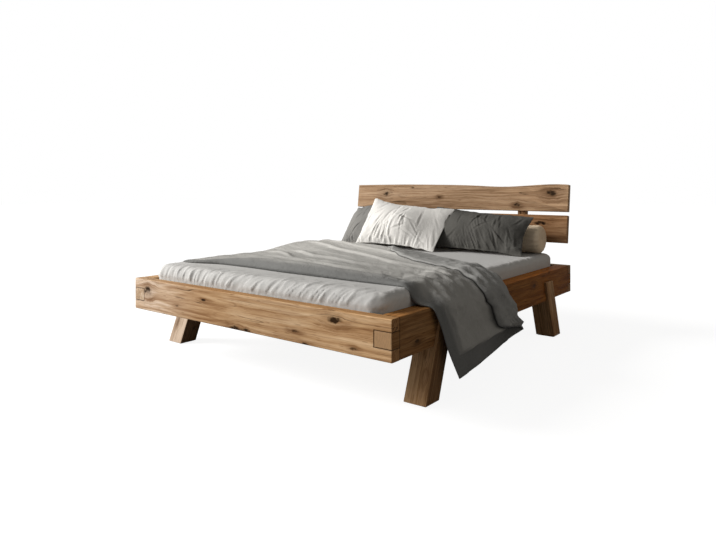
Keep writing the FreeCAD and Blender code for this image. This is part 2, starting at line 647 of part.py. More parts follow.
def blanket_stations():
    """The blanket's path across the bed, left to right, then down outside the right beam.
    Each station: lower face's place at its foot edge and at its head edge, the way up from the cloth
    in degrees from the vertical towards the right, thickness, turned-back reach, depth of the hanging
    folds, height of the ridges and where these cross."""
    top = SHEET_TOP + BLANKET_GAP
    shoulder = MATTRESS_WIDTH / 2 - MATTRESS_TOP_ROUNDING
    foot = -MATTRESS_LENGTH / 2 + BLANKET_FOOT_INSET
    head = MATTRESS_LENGTH / 2 - BLANKET_HEAD_INSET
    head_left = MATTRESS_LENGTH / 2 - BLANKET_HEAD_LEFT_INSET
    fold = MATTRESS_LENGTH / 2 - BLANKET_FOLD_RIGHT_INSET
    thin, start = BLANKET_HANG_THICKNESS, BLANKET_FLAP_START
    left_loft, right_loft = BLANKET_LEFT_LOFT_SHARE * BLANKET_LOFT, BLANKET_RIGHT_LOFT_SHARE * BLANKET_LOFT
    left_crossing, right_crossing = BLANKET_CROSSING_SHARES[0], BLANKET_CROSSING_SHARES[-1]
    reach = flap_at(BLANKET_FLAP_SHARES[-1])

    def level(x, z, head_y):
        return Vector(x, foot, z), Vector(x, head_y, z)

    stations = []
    left_x, _ = over_edge(SIDES["left"], EDGE_TURNS_DEG[-1])
    low_ends = level(left_x, top - BLANKET_LEFT_DROP, head_left)
    stations.append((low_ends, -EDGE_TURNS_DEG[-1], thin, start, 0, 0, left_crossing))
    for turn in EDGE_TURNS_DEG[::-1]:
        thickness = thin if turn == EDGE_TURNS_DEG[-1] else left_loft
        ends = level(*over_edge(SIDES["left"], turn), head_left)
        stations.append((ends, -turn, thickness, start, 0, 0, left_crossing))
    for across, drawn_down, turned_back, loft, ridge, crossing in zip(
            BLANKET_ACROSS_SHARES, BLANKET_FOLD_SHARES, BLANKET_FLAP_SHARES, BLANKET_LOFT_SHARES,
            BLANKET_RIDGE_SHARES, BLANKET_CROSSING_SHARES):
        ends = level(across * shoulder, top, head + (fold - head) * drawn_down)
        height = ridge * BLANKET_RIDGE_HEIGHT
        stations.append((ends, 0, loft * BLANKET_LOFT, flap_at(turned_back), 0, height, crossing))
    for turn in EDGE_TURNS_DEG[:-1]:
        ends = level(*over_edge(SIDES["right"], turn), fold)
        ridge = BLANKET_RIDGE_HEIGHT * math.cos(math.radians(turn))
        stations.append((ends, turn, right_loft, reach, 0, ridge, right_crossing))

    rest = BEAM_TOP + BLANKET_GAP
    beam_middle = HALF_INNER_WIDTH + SIDE_BEAM_THICKNESS / 2
    on_beam = level(beam_middle, rest + thin / 2, fold)
    at_edge = level(HALF_WIDTH, rest, fold)
    stations.append((on_beam, EDGE_TURNS_DEG[1], thin, reach, 0, 0, right_crossing))
    stations.append((at_edge, EDGE_TURNS_DEG[2], thin, reach, 0, 0, right_crossing))
    bend_foot, bend_head = level(LEG_OUTER + BLANKET_GAP, BEAM_TOP - thin, fold)
    hem_x = LEG_OUTER + BLANKET_HEM_FLARE
    hem_foot = Vector(hem_x, foot + BLANKET_HEM_FOOT_SHIFT, BLANKET_HEM_FOOT_HEIGHT)
    hem_head = Vector(hem_x, fold + BLANKET_HEM_HEAD_SHIFT, BLANKET_HEM_HEAD_HEIGHT)
    for share, turned_back in zip(BLANKET_HANG_SHARES, BLANKET_HANG_FLAP_SHARES):
        ends = (bend_foot + (hem_foot - bend_foot) * share, bend_head + (hem_head - bend_head) * share)
        depth = BLANKET_FOLD_DEPTH * share
        stations.append((ends, BLANKET_HANG_UP_DEG, thin, flap_at(turned_back), depth, 0, right_crossing))
    return stations


def flap_at(share):
    """How far the head edge is turned back, between its least and its most."""
    return BLANKET_FLAP_START + (BLANKET_FLAP_REACH - BLANKET_FLAP_START) * share


def blanket_section(station):
    """One closed outline across the blanket's thickness, from foot edge to turned-back head edge."""
    (foot_point, head_point), up_deg, thickness, flap, fold_depth, ridge_height, crossings = station
    up = Vector(math.sin(math.radians(up_deg)), 0, math.cos(math.radians(up_deg)))
    run = head_point - foot_point
    along = run / run.Length
    flat = run.Length - flap - BLANKET_FLAP_THICKNESS
    half_width = min(BLANKET_RIDGE_HALF_WIDTH, BLANKET_RIDGE_ROOM_SHARE * flat)

    def at(distance, height):
        return foot_point + along * distance + up * height

    profile = [(0, 0)]
    for crossing in crossings:
        middle = crossing * flat
        profile += [(middle - half_width, 0), (middle, ridge_height), (middle + half_width, 0)]
    profile.append((flat, 0))
    lower, upper = [], []
    for distance, ridge in profile:
        wave = fold_depth * (1 - math.cos(2 * math.pi * BLANKET_FOLD_COUNT * distance / flat)) / 2
        lower.append(at(distance, wave))
        upper.append(at(distance, wave + thickness + ridge))
    end = run.Length
    head_thickness = max(BLANKET_HEAD_LOFT_SHARE * thickness, BLANKET_HANG_THICKNESS)
    flap_low = thickness + BLANKET_FLAP_GAP
    flap_high = flap_low + BLANKET_FLAP_THICKNESS
    head_low = head_thickness + BLANKET_FLAP_GAP
    head_high = head_low + BLANKET_FLAP_THICKNESS
    turn = [at(end, 0), at(end + BLANKET_EDGE_BULGE, head_high / 2), at(end, head_high), at(flat, flap_high),
            at(flat, flap_low), at(end - BLANKET_FLAP_THICKNESS, head_low),
            at(end - BLANKET_FLAP_THICKNESS, head_thickness)]
    bulge = [at(-BLANKET_EDGE_BULGE, thickness / 2)]
    points = lower + turn + upper[::-1] + bulge
    return Part.makePolygon(points + points[:1])


def blanket():
    """The quilted blanket: laid over the mattress, its head edge turned back, its right side hanging."""
    return Part.makeLoft([blanket_section(s) for s in blanket_stations()], True, True)


def leg_fasteners():
    """Bolts, washers and sleeves that hold the four legs, as three groups."""
    bolts, washers, inserts = [], [], []
    for side in SIDES.values():
        outward = Vector(side, 0, 0)
        length = SIDE_BEAM_THICKNESS - COUNTERBORE_DEPTH - LEG_HOUSING_DEPTH + INSERT_LENGTH - BOLT_END_GAP
        for end in ENDS.values():
            for seat in leg_bolt_seats(side, end):
                bolts.append(bolt(seat, outward, length))
                washers.append(washer(seat, outward))
                inserts.append(insert(leg_insert_mouth(seat, side), outward))
    return bolts, washers, inserts


def post_fasteners():
    """Bolts, washers and sleeves that hold the two posts to the head beam, as three groups."""
    bolts, washers, inserts = [], [], []
    forward = Vector(0, -1, 0)
    length = POST_TAIL_THICKNESS + INSERT_LENGTH - BOLT_END_GAP
    for side in SIDES.values():
        for seat in post_bolt_seats(side):
            bolts.append(bolt(seat, forward, length))
            washers.append(washer(seat, forward))
            inserts.append(insert(Vector(seat.x, HALF_LENGTH, seat.z), forward))
    return bolts, washers, inserts


def build():
    """Every piece of the bed, by the name of its node."""
    nodes = {}
    corner_screws, plank_screw_solids, hanger_screw_solids, ledger_screw_solids = [], [], [], []
    glides = []
    for end_name, end in ENDS.items():
        nodes[f"{end_name}_beam"] = end_beam(end)
        nodes[f"{end_name}_beam_hanger"] = beam_hanger(end)
        hanger_screw_solids += [screw(s, d, HANGER_WALL + SCREW_GRIP) for s, d in hanger_screws(end)]
        for side_name, side in SIDES.items():
            nodes[f"{end_name}_{side_name}_leg"] = leg(side, end)
            nodes[f"{end_name}_{side_name}_corner_bracket"] = corner_bracket(side, end)
            corner_screws += [screw(s, d, BRACKET_THICKNESS + SCREW_GRIP) for s, d in bracket_screws(side, end)]
            glides.append(leg_glide(side, end))
    for side_name, side in SIDES.items():
        nodes[f"{side_name}_side_beam"] = side_beam(side)
        nodes[f"{side_name}_slat_ledger"] = ledger(side)
        nodes[f"{side_name}_slats"] = slats(side)
        nodes[f"{side_name}_slat_straps"] = slat_straps(side)
        nodes[f"{side_name}_headboard_post"] = post(side)
        ledger_screw_solids += [screw(s, d, LEDGER_WIDTH + SCREW_GRIP) for s, d in ledger_screws(side)]
        plank_screw_solids += [screw(s, d, POST_DEPTH + SCREW_GRIP) for s, d in plank_screws(side)]
    leg_bolts, leg_washers, leg_inserts = leg_fasteners()
    post_bolts, post_washers, post_inserts = post_fasteners()
    groups = {"leg_glides": glides, "corner_screws": corner_screws, "hanger_screws": hanger_screw_solids,
              "ledger_screws": ledger_screw_solids, "plank_screws": plank_screw_solids,
              "leg_bolts": leg_bolts, "leg_bolt_washers": leg_washers, "leg_inserts": leg_inserts,
              "post_bolts": post_bolts, "post_bolt_washers": post_washers, "post_inserts": post_inserts}
    nodes.update({name: Part.makeCompound(solids) for name, solids in groups.items()})
    nodes["centre_beam"] = centre_beam()
    nodes["centre_leg"] = centre_leg()
    nodes["centre_leg_stud"] = centre_stud()
    nodes["centre_leg_glide"] = centre_glide()
    nodes["lower_headboard_plank"] = lower_plank()
    nodes["upper_headboard_plank"] = upper_plank()
    nodes["mattress"] = mattress()
    nodes["fitted_sheet"] = fitted_sheet()
    nodes["blanket"] = blanket()
    nodes["grey_pillow"] = pillow(GREY_PILLOW_SHARE, GREY_PILLOW_INSET, GREY_PILLOW_ANGLES_DEG)
    nodes["white_pillow"] = pillow(WHITE_PILLOW_SHARE, WHITE_PILLOW_INSET, WHITE_PILLOW_ANGLES_DEG)
    nodes["dark_pillow"] = pillow(DARK_PILLOW_SHARE, DARK_PILLOW_INSET, DARK_PILLOW_ANGLES_DEG)
    nodes["neck_roll"] = neck_roll()
    return nodes


def main():
    os.makedirs("parts", exist_ok=True)
    for name, shape in build().items():
        shape.exportStep(f"parts/{name}.step")


main()
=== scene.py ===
import math

import bpy
import numpy as np
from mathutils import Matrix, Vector


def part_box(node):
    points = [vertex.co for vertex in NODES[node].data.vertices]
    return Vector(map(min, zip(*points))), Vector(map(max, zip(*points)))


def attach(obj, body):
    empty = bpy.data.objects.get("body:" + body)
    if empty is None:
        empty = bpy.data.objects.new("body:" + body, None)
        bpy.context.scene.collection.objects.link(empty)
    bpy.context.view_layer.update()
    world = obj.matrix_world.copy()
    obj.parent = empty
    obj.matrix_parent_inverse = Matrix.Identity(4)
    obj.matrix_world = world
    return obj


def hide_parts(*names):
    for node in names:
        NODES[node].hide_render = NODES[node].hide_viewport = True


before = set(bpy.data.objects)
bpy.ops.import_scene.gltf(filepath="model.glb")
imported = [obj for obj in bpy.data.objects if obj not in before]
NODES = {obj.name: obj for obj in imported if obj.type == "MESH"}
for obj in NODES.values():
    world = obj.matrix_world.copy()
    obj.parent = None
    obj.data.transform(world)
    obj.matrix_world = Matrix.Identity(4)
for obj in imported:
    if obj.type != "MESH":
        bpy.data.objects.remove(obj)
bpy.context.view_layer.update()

scene = bpy.context.scene
scene.view_settings.view_transform = "Standard"


# Node graphs

class Graph:
    """The nodes of a material or of the world, with short ways to add them."""

    def __init__(self, owner):
        self.owner = owner
        owner.use_nodes = True
        self.tree = owner.node_tree
        self.tree.nodes.clear()

    def add(self, kind, **settings):
        node = self.tree.nodes.new("ShaderNode" + kind)
        for key, value in settings.items():
            setattr(node, key, value)
        return node

    def put(self, socket, value):
        if isinstance(value, bpy.types.NodeSocket):
            self.tree.links.new(value, socket)
        elif value is not None:
            socket.default_value = value

    def set(self, node, **values):
        """Sets a node's inputs by name."""
        for key, value in values.items():
            self.put(node.inputs[key.replace("_", " ")], value)
        return node

    def place(self):
        return self.add("TexCoord").outputs["Object"]

    def split(self, vector):
        node = self.add("SeparateXYZ")
        self.put(node.inputs[0], vector)
        return node.outputs

    def fill(self, node, *values):
        """Sets a node's inputs in order and gives its first output."""
        for socket, value in zip(node.inputs, values):
            self.put(socket, value)
        return node.outputs[0]

    def output(self, kind, shader):
        self.put(self.add(kind).inputs[0], shader)
        return self.owner

    def math(self, op, a, b=None, c=None):
        return self.fill(self.add("Math", operation=op), a, b, c)

    def most(self, a, b):
        return b if a is None else self.math("MAXIMUM", a, b)

    def times(self, a, b, plus=None):
        return self.math("MULTIPLY" if plus is None else "MULTIPLY_ADD", a, b, plus)

    def vec(self, op, a, b=None, scale=None):
        node = self.add("VectorMath", operation=op)
        self.fill(node, a, b)
        if scale is not None:
            self.put(node.inputs["Scale"], scale)
        return node.outputs["Value" if op in ("DOT_PRODUCT", "LENGTH") else "Vector"]

    def noise(self, vector, scale, detail=2.0, rough=0.5, distort=0.0):
        """Noise in a space stretched by three scales."""
        stretched = self.vec("MULTIPLY", vector, scale)
        node = self.set(self.add("TexNoise"), Vector=stretched, Scale=1.0, Detail=detail, Roughness=rough,
                        Distortion=distort)
        return node.outputs["Fac"]

    def span(self, value, low, high, to_low=0.0, to_high=1.0):
        """A smooth step between two values."""
        node = self.add("MapRange", interpolation_type="SMOOTHSTEP")
        return self.fill(node, value, low, high, to_low, to_high)

    def ramp(self, factor, stops):
        node = self.add("ValToRGB")
        while len(node.color_ramp.elements) < len(stops):
            node.color_ramp.elements.new(0.5)
        for element, (place, colour) in zip(node.color_ramp.elements, stops):
            element.position = place
            element.color = (*colour, 1.0)
        return self.fill(node, factor)

    def mix(self, factor, a, b, blend="MIX"):
        node = self.add("Mix", data_type="RGBA", blend_type=blend)
        for index, value in ((0, factor), (6, a), (7, b)):
            if isinstance(value, tuple) and len(value) == 3:
                value = (*value, 1.0)
            self.put(node.inputs[index], value)
        return node.outputs[2]

    def principled(self, colour, rough, bump, bump_strength, bump_depth, **constants):
        shader = self.set(self.add("BsdfPrincipled"), Base_Color=colour, Roughness=rough, **constants)
        node = self.set(self.add("Bump"), Strength=bump_strength, Distance=bump_depth, Height=bump)
        self.put(shader.inputs["Normal"], node.outputs[0])
        return self.output("OutputMaterial", shader.outputs[0])


# Wood

# Oak of several shades, each from its darkest streak to its palest. The honey tone is the plain oak, and
# the others carry painted light and shade: the pale tone is painted light on the left foot leg, the brown
# tone painted shade on the right beam, the leg tone painted shade on the right legs, and the upper and
# lower tones painted shade on the headboard, the lower one darkest, on the lower plank and the posts.
HONEY = ((0.185, 0.09, 0.036), (0.36, 0.205, 0.098), (0.51, 0.325, 0.175), (0.63, 0.445, 0.275))
LIT_PALE = ((0.2, 0.135, 0.088), (0.37, 0.27, 0.19), (0.5, 0.392, 0.3), (0.6, 0.49, 0.4))
UPPER = ((0.15, 0.085, 0.045), (0.28, 0.175, 0.1), (0.385, 0.255, 0.155), (0.46, 0.325, 0.215))
LOWER = ((0.1, 0.046, 0.019), (0.22, 0.112, 0.051), (0.34, 0.188, 0.092), (0.43, 0.26, 0.142))
LEG = ((0.135, 0.062, 0.024), (0.295, 0.158, 0.07), (0.455, 0.272, 0.135), (0.56, 0.365, 0.205))
SHADED_BROWN = ((0.08, 0.033, 0.009), (0.165, 0.076, 0.025), (0.262, 0.13, 0.049), (0.345, 0.195, 0.085))

# Year rings, in radians per metre from the pith.
RINGS = 520.0

# Where the beams are let into each other at each corner: the tongue, and the end beam's depth.
JOINTS = (((1.305, 1.505, 0.328), (0.5, 0.5, 0.035)), ((0.0, 1.505, 0.0), (2.0, 0.5, 2.0)))


def joint_lines(g):
    """Dark lines along the corner joints, the same at all four corners."""
    at = g.vec("ABSOLUTE", g.place())
    lines = None
    for centre, half in JOINTS:
        gap = g.vec("SUBTRACT", g.vec("ABSOLUTE", g.vec("SUBTRACT", at, centre)), half)
        x, y, z = g.split(gap)
        outer = g.most(g.most(x, y), z)
        line = g.span(g.math("ABSOLUTE", outer), 0.0008, 0.003, 1.0, 0.0)
        lines = g.most(lines, line)
    return lines


def scaled(colour, by):
    return tuple(by * x for x in colour)


def tinted(g, colour, shades):
    """Changes of shade across a piece. Each: the axis, where along it the change starts and ends, how
    much of the colour beyond that is mixed in, or none to multiply by it, and the colour."""
    parts = g.split(g.place())
    for axis, start, end, share, tint in shades:
        beyond = g.span(parts["XYZ".index(axis)], start, end, 0.0, share or 1.0)
        colour = g.mix(beyond, colour, tint, "MIX" if share else "MULTIPLY")
    return colour


def round_knots(g, q, axes, knots, wobble):
    """The grain's space pushed aside by knots, and how near each point is to a knot's core and halo."""
    core = halo = None
    for place, radius, stretch in knots:
        away = g.vec("SUBTRACT", q, tuple(Vector(place).dot(axis) for axis in axes))
        far = g.vec("LENGTH", g.vec("MULTIPLY", away, (1 / (radius * stretch), 1 / radius, 1 / radius)))
        far = g.times(g.math("SUBTRACT", wobble, 0.5), 1.3, far)
        near = g.span(far, 0.35, 1.0, 1.0, 0.0)
        around = g.span(far, 0.3, 3.2, 1.0, 0.0)
        core, halo = g.most(core, near), g.most(halo, around)
        push = g.vec("MULTIPLY", away, (0.0, 0.8, 0.8))
        q = g.vec("SUBTRACT", q, g.vec("SCALE", push, scale=around))
    return q, core, halo


def oak(name, grain, across, tones, seed, knots=(), cracks=0.6, pith=(0.03, -0.16), joints=False, shades=()):
    """Rustic oak as a solid texture: rings round a pith, streaks, pores, cracks, and knots that
    the grain flows round. Each knot: its place, its radius and how far it is stretched along the grain."""
    g = Graph(bpy.data.materials.new(name))
    grain, across = Vector(grain).normalized(), Vector(across).normalized()
    axes = (grain, across, grain.cross(across))
    at = g.place()
    q = g.fill(g.add("CombineXYZ"), *(g.vec("DOT_PRODUCT", at, tuple(axis)) for axis in axes))
    wobble = g.noise(g.vec("ADD", q, (seed, 0.0, 0.0)), (30.0, 42.0, 42.0), 2.0)
    q, core, halo = round_knots(g, q, axes, knots, wobble)
    q = g.vec("ADD", q, (seed * 1.7, seed * 0.31, seed * 0.23))
    streak = g.noise(q, (1.5, 34.0, 34.0), 6.0, 0.62, 0.5)
    patch = g.noise(q, (1.4, 5.0, 5.0), 3.0, 0.5)
    fibre = g.noise(q, (10.0, 380.0, 380.0), 2.0, 0.6)
    pores = g.noise(q, (16.0, 210.0, 210.0), 1.0, 0.5)
    _, b, c = g.split(q)
    bend = g.times(g.math("SUBTRACT", patch, 0.5), 0.07)
    b = g.math("ADD", g.math("SUBTRACT", b, pith[0] + seed * 0.31), bend)
    c = g.math("SUBTRACT", c, pith[1] + seed * 0.23)
    from_pith = g.math("SQRT", g.math("ADD", g.times(b, b), g.times(c, c)))
    from_pith = g.times(streak, 0.01, from_pith)
    ring = g.times(g.math("SINE", g.times(from_pith, RINGS)), 0.5, 0.5)
    tone = g.times(streak, 0.55)
    tone = g.times(patch, 0.5, tone)
    tone = g.times(ring, 0.1, tone)
    dark, low, mid, high = tones
    colour = g.ramp(tone, [(0.32, dark), (0.45, low), (0.58, mid), (0.74, high)])
    colour = g.mix(g.span(fibre, 0.35, 0.72, 0.0, 0.34), colour, low, "MULTIPLY")
    thread = g.noise(q, (2.6, 105.0, 105.0), 3.0, 0.6, 0.2)
    colour = g.mix(g.span(thread, 0.5, 0.62, 0.0, 0.34), colour, low, "MULTIPLY")
    colour = g.mix(g.span(pores, 0.6, 0.74, 0.0, 0.55), colour, dark)
    line = g.math("SUBTRACT", g.noise(q, (1.1, 17.0, 17.0), 2.0, 0.55, 0.25), 0.5)
    line = g.span(g.math("ABSOLUTE", line), 0.002, 0.011, 1.0, 0.0)
    gate = g.span(g.noise(q, (2.4, 5.5, 5.5), 1.0), 0.56 - 0.06 * cracks, 0.68 - 0.06 * cracks)
    crack = g.times(line, gate)
    colour = g.mix(g.times(crack, 0.72), colour, scaled(dark, 0.22))
    height = g.times(fibre, 0.25, g.times(ring, 0.12))
    height = g.math("SUBTRACT", height, g.times(crack, 0.9))
    if core is not None:
        stain = g.times(halo, g.span(streak, 0.38, 0.6, 0.85, 0.25))
        colour = g.mix(stain, colour, scaled(low, 0.75), "MULTIPLY")
        heart = g.span(wobble, 0.4, 0.62, 1.0, 0.55)
        colour = g.mix(g.times(core, heart), colour, scaled(dark, 0.14))
        height = g.math("SUBTRACT", height, g.times(core, 0.8))
    colour = tinted(g, colour, shades)
    if joints:
        colour = g.mix(g.times(joint_lines(g), 0.88), colour, scaled(dark, 0.14))
    rough = g.times(fibre, 0.16, 0.52)
    return g.principled(colour, rough, height, 0.7, 0.0016, Specular_IOR_Level=0.02)


def pine(name):
    g = Graph(bpy.data.materials.new(name))
    streak = g.noise(g.place(), (3.0, 60.0, 60.0), 4.0, 0.6, 0.4)
    colour = g.ramp(streak, [(0.3, (0.44, 0.28, 0.13)), (0.5, (0.6, 0.43, 0.25)), (0.7, (0.68, 0.53, 0.34))])
    return g.principled(colour, 0.62, streak, 0.4, 0.0008)


def steel(name):
    g = Graph(bpy.data.materials.new(name))
    cloud = g.noise(g.place(), (60.0, 60.0, 60.0), 4.0, 0.6)
    colour = g.ramp(cloud, [(0.3, (0.42, 0.43, 0.45)), (0.7, (0.62, 0.63, 0.64))])
    return g.principled(colour, g.span(cloud, 0.3, 0.7, 0.28, 0.45), cloud, 0.15, 0.0003, Metallic=1.0)


def felt(name, colour):
    g = Graph(bpy.data.materials.new(name))
    fluff = g.noise(g.place(), (700.0, 700.0, 700.0), 3.0, 0.7)
    tone = g.mix(g.span(fluff, 0.3, 0.7), scaled(colour, 0.7), scaled(colour, 1.25))
    return g.principled(tone, 0.95, fluff, 0.8, 0.0008)


def fabric(name, colour, depth=0.1, crush=0.0, parts=()):
    """Woven cotton: crossed threads, a mottle from the yarn, a slight broad variation and, with crush,
    the small creases of washed cloth. Each part: a mesh attribute that says where it is, and its colour."""
    g = Graph(bpy.data.materials.new(name))
    at = g.place()
    warp = g.noise(at, (900.0, 110.0, 450.0), 2.0, 0.6)
    weft = g.noise(at, (110.0, 900.0, 450.0), 2.0, 0.6)
    yarn = g.times(g.math("ADD", warp, weft), 0.5)
    broad = g.noise(at, (9.0, 9.0, 9.0), 3.0, 0.5)
    tone = g.times(broad, 0.45, g.times(yarn, 0.55))
    for attribute, other in parts:
        colour = g.mix(g.add("Attribute", attribute_name=attribute).outputs["Fac"], colour, other)
    light = g.ramp(tone, [(0.36, (1 - depth,) * 3), (0.64, (1.0,) * 3)])
    shade = g.mix(1.0, colour, light, "MULTIPLY")
    creases = g.noise(at, (38.0, 52.0, 38.0), 4.0, 0.55, 1.2)
    height = g.times(creases, 14.0 * crush, yarn)
    return g.principled(shade, 0.88, height, 0.5, 0.0005, Specular_IOR_Level=0.01)


# Shapes

LATTICE = 64


def value_noise(x, y, seed):
    """Smooth noise between -1 and 1 on a repeating lattice."""
    table = np.random.RandomState(seed).rand(LATTICE, LATTICE) * 2 - 1
    xi, yi = np.floor(x).astype(int), np.floor(y).astype(int)
    sx, sy = (f * f * f * (f * (f * 6 - 15) + 10) for f in (x - xi, y - yi))

    def row(j):
        a, b = (table[i % LATTICE, j % LATTICE] for i in (xi, xi + 1))
        return a * (1 - sx) + b * sx

    return row(yi) * (1 - sy) + row(yi + 1) * sy


def layered(x, y, seed, octaves=3):
    total = np.zeros(np.broadcast(x, y).shape)
    for k in range(octaves):
        total = total + value_noise(x * 2 ** k, y * 2 ** k, seed + k) * 0.55 ** k
    return total


def smooth(low, high, x):
    """A smooth step from 0 at low to 1 at high."""
    t = np.clip((np.asarray(x, float) - low) / (high - low), 0, 1)
    return t * t * (3 - 2 * t)


def bell(x, middle, width):
    return np.exp(-((x - middle) / width) ** 2)


def quarter_round(t):
    """Rises from 0 to 1 as a quarter circle does, and stays there."""
    return np.sqrt(np.clip(1 - (1 - np.clip(t, 0, 1)) ** 2, 0, 1))


def make_object(name, points, faces, material):
    mesh = bpy.data.meshes.new(name)
    mesh.from_pydata([tuple(map(float, p)) for p in points], [], faces)
    mesh.validate()
    mesh.polygons.foreach_set("use_smooth", [True] * len(mesh.polygons))
    mesh.materials.append(material)
    obj = bpy.data.objects.new(name, mesh)
    scene.collection.objects.link(obj)
    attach(obj, "root")
    return obj


def mark(obj, name, values):
    """A named value at each point, for the material to read."""
    attribute = obj.data.attributes.new(name, "FLOAT", "POINT")
    attribute.data.foreach_set("value", np.ascontiguousarray(values, float))


def tube_faces(rows, columns, closed=True):
    """Quads over rings of points, listed ring by ring, with a face across the first ring and, where
    the tube is closed, one across the last."""
    faces = []
    for r in range(rows - 1):
        for c in range(columns):
            d = (c + 1) % columns
            faces.append((r * columns + c, r * columns + d, (r + 1) * columns + d, (r + 1) * columns + c))
    faces.append(tuple(range(columns))[::-1])
    if closed:
        faces.append(tuple((rows - 1) * columns + k for k in range(columns)))
    return faces


QUARTER_TURN = 1.57


def run_so_far(points):
    return np.concatenate([[0], np.cumsum(np.linalg.norm(np.diff(points, axis=0), axis=1))])


def rounded_outline(half_x, half_y, radius, step):
    """Points round a rounded rectangle, with the outward direction and the run so far at each."""
    points, normals = [], []
    corners = np.array([(1, -1), (1, 1), (-1, 1), (-1, -1)]) * (half_x - radius, half_y - radius)
    for k, centre in enumerate(corners):
        start = math.radians(-90 + 90 * k)
        for a in np.linspace(start, start + math.pi / 2, max(3, int(radius * QUARTER_TURN / step))):
            n = np.array([math.cos(a), math.sin(a)])
            points.append(centre + n * radius)
            normals.append(n)
        end = corners[(k + 1) % 4] + n * radius
        count = int(np.linalg.norm(end - points[-1]) / step)
        for share in np.linspace(0, 1, count + 1)[1:-1]:
            points.append((centre + n * radius) * (1 - share) + end * share)
            normals.append(n)
    start = len(points) // 2
    points, normals = (np.roll(rows, -start, 0) for rows in (points, normals))
    return points, normals, run_so_far(points)


# Bedding

def gathers(run, depth, across, seed):
    """Fine slanting folds, between 0 and 1, along a gathered edge."""
    lean = 0.55 + 0.8 * across + 0.35 * value_noise(run / 0.3, 3.3, seed + 9)
    a = (run + lean * depth) / 0.026
    b = (run + 0.8 * lean * depth) / 0.066
    fine = 1 - np.abs(value_noise(a, 1.5 * depth / 0.1, seed))
    broad = 1 - np.abs(value_noise(b, depth / 0.1, seed + 3))
    return 0.55 * fine ** 2 + 0.45 * broad ** 2


# Rings of the top, as shares of the way out from its middle, close together where the gathers are.
TOP_RINGS = (0.03, 0.3, 0.5, 0.66, 0.78, 0.84, 0.87, 0.895, 0.915, 0.93, 0.945, 0.958, 0.97, 0.98, 0.99, 1.0)
# Below this height the sheet lies between the mattress and the beams, and its gathers stay small.
BESIDE_BEAMS = 0.43


def mattress_form(name, material, half_x, half_y, low, top, corner, rounding, wrinkle, step):
    """The mattress's rounded block, or the sheet over it, with gathers where wrinkle is above zero."""
    outline, normal, run = rounded_outline(half_x, half_y, corner, step)
    r = 0.04 + (rounding - 0.04) * smooth(0.2, 0.9, -normal[:, 1])
    inset = outline - normal * r[:, None]
    rows = []
    for share in TOP_RINGS:
        rows.append((inset * share, top, 0.0, 0.62 * float(smooth(0.85, 1.0, share)), (1 - share) * 0.95))
    for a in np.linspace(0, math.pi / 2, 11)[1:]:
        out, fall = math.sin(a), 1 - math.cos(a)
        rows.append((inset + normal * r[:, None] * out, top - r * fall, a, 0.62 + 0.38 * out, -r * a))
    for t in np.linspace(0, 1, 12)[1:]:
        z = (top - r) * (1 - t) + low * t
        rows.append((outline, z, math.pi / 2, 1.0, -r * QUARTER_TURN - (top - r - z)))
    foot = 0.45 + 0.55 * smooth(0.0, 0.8, -normal[:, 1])
    corner_share = smooth(0.0, 0.25, np.abs(normal[:, 0]) * np.abs(normal[:, 1]) * 2)
    in_corner = np.min(np.abs(outline) - (half_x - 0.3, half_y - 0.3), axis=1)
    points = []
    for place, z, tilt, weight, depth in rows:
        upright = math.sin(tilt)
        keep = (1 - smooth(0.16 + 0.06 * upright, 0.24 + 0.04 * upright, in_corner)) * (1 - corner_share)
        keep = keep + 0.85 * upright * corner_share
        lift = wrinkle * weight * foot * keep * (gathers(run, -depth, outline[:, 0], 11) - 0.12)
        lift = np.where(np.less(z, BESIDE_BEAMS), np.minimum(0.25 * lift, 0.002), lift)
        xy = place + normal * (lift * upright)[:, None]
        points.append(np.column_stack([xy, z + lift * math.cos(tilt)]))
    faces = tube_faces(len(rows), len(outline), closed=not wrinkle)
    obj = make_object(name, np.concatenate(points), [f[::-1] for f in faces], material)
    # Right-facing sides get a mark that the sheet's cloth makes lighter: painted light.
    mark(obj, "right", np.concatenate([math.sin(row[2]) * smooth(0.15, 0.9, normal[:, 0]) for row in rows]))
    return obj


def blanket_path():
    """The lower face's way across the bed, from its left edge to the outer edge of the right beam."""
    mattress_high = np.array(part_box("mattress")[1])
    beam_high = np.array(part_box("right_side_beam")[1])
    edge, top, rail = mattress_high[0], mattress_high[2] + 0.003, beam_high[2]
    r = 0.055

    def arc(side, degrees):
        return [(side * (edge - 0.05) + r * math.sin(a), top - r + r * math.cos(a) + 0.001)
                for a in np.radians(degrees)]

    points = [(-edge - 0.007, top - 0.064), (-edge - 0.0075, top - 0.052), *arc(-1, (-80, -60, -40, -20, 0))]
    points += [(x, top) for x in np.linspace(-0.7, 0.7, 15)] + arc(1, (0, 18, 36, 52))
    points += [(edge + 0.02, rail + 0.022), (edge + 0.05, rail + 0.0065)]
    points += [(beam_high[0] + out, rail + rise)
               for out, rise in ((-0.012, 0.004), (0.008, -0.002), (0.0185, -0.014))]
    return np.array(points)


def resampled(points, step):
    """Points at even steps along a smooth line through the given ones."""
    padded = np.vstack([2 * points[0] - points[1], points, 2 * points[-1] - points[-2]])
    dense = []
    for k in range(1, len(padded) - 2):
        p0, p1, p2, p3 = padded[k - 1:k + 3]
        for t in np.linspace(0, 1, 12, endpoint=False):
            dense.append(0.5 * (2 * p1 + (p2 - p0) * t + (2 * p0 - 5 * p1 + 4 * p2 - p3) * t * t
                                + (3 * p1 - p0 - 3 * p2 + p3) * t ** 3))
    dense = np.array(dense + [points[-1]])
    run = run_so_far(dense)
    even = np.linspace(0, run[-1], int(run[-1] / step) + 1)
    return np.column_stack([np.interp(even, run, axis) for axis in dense.T])


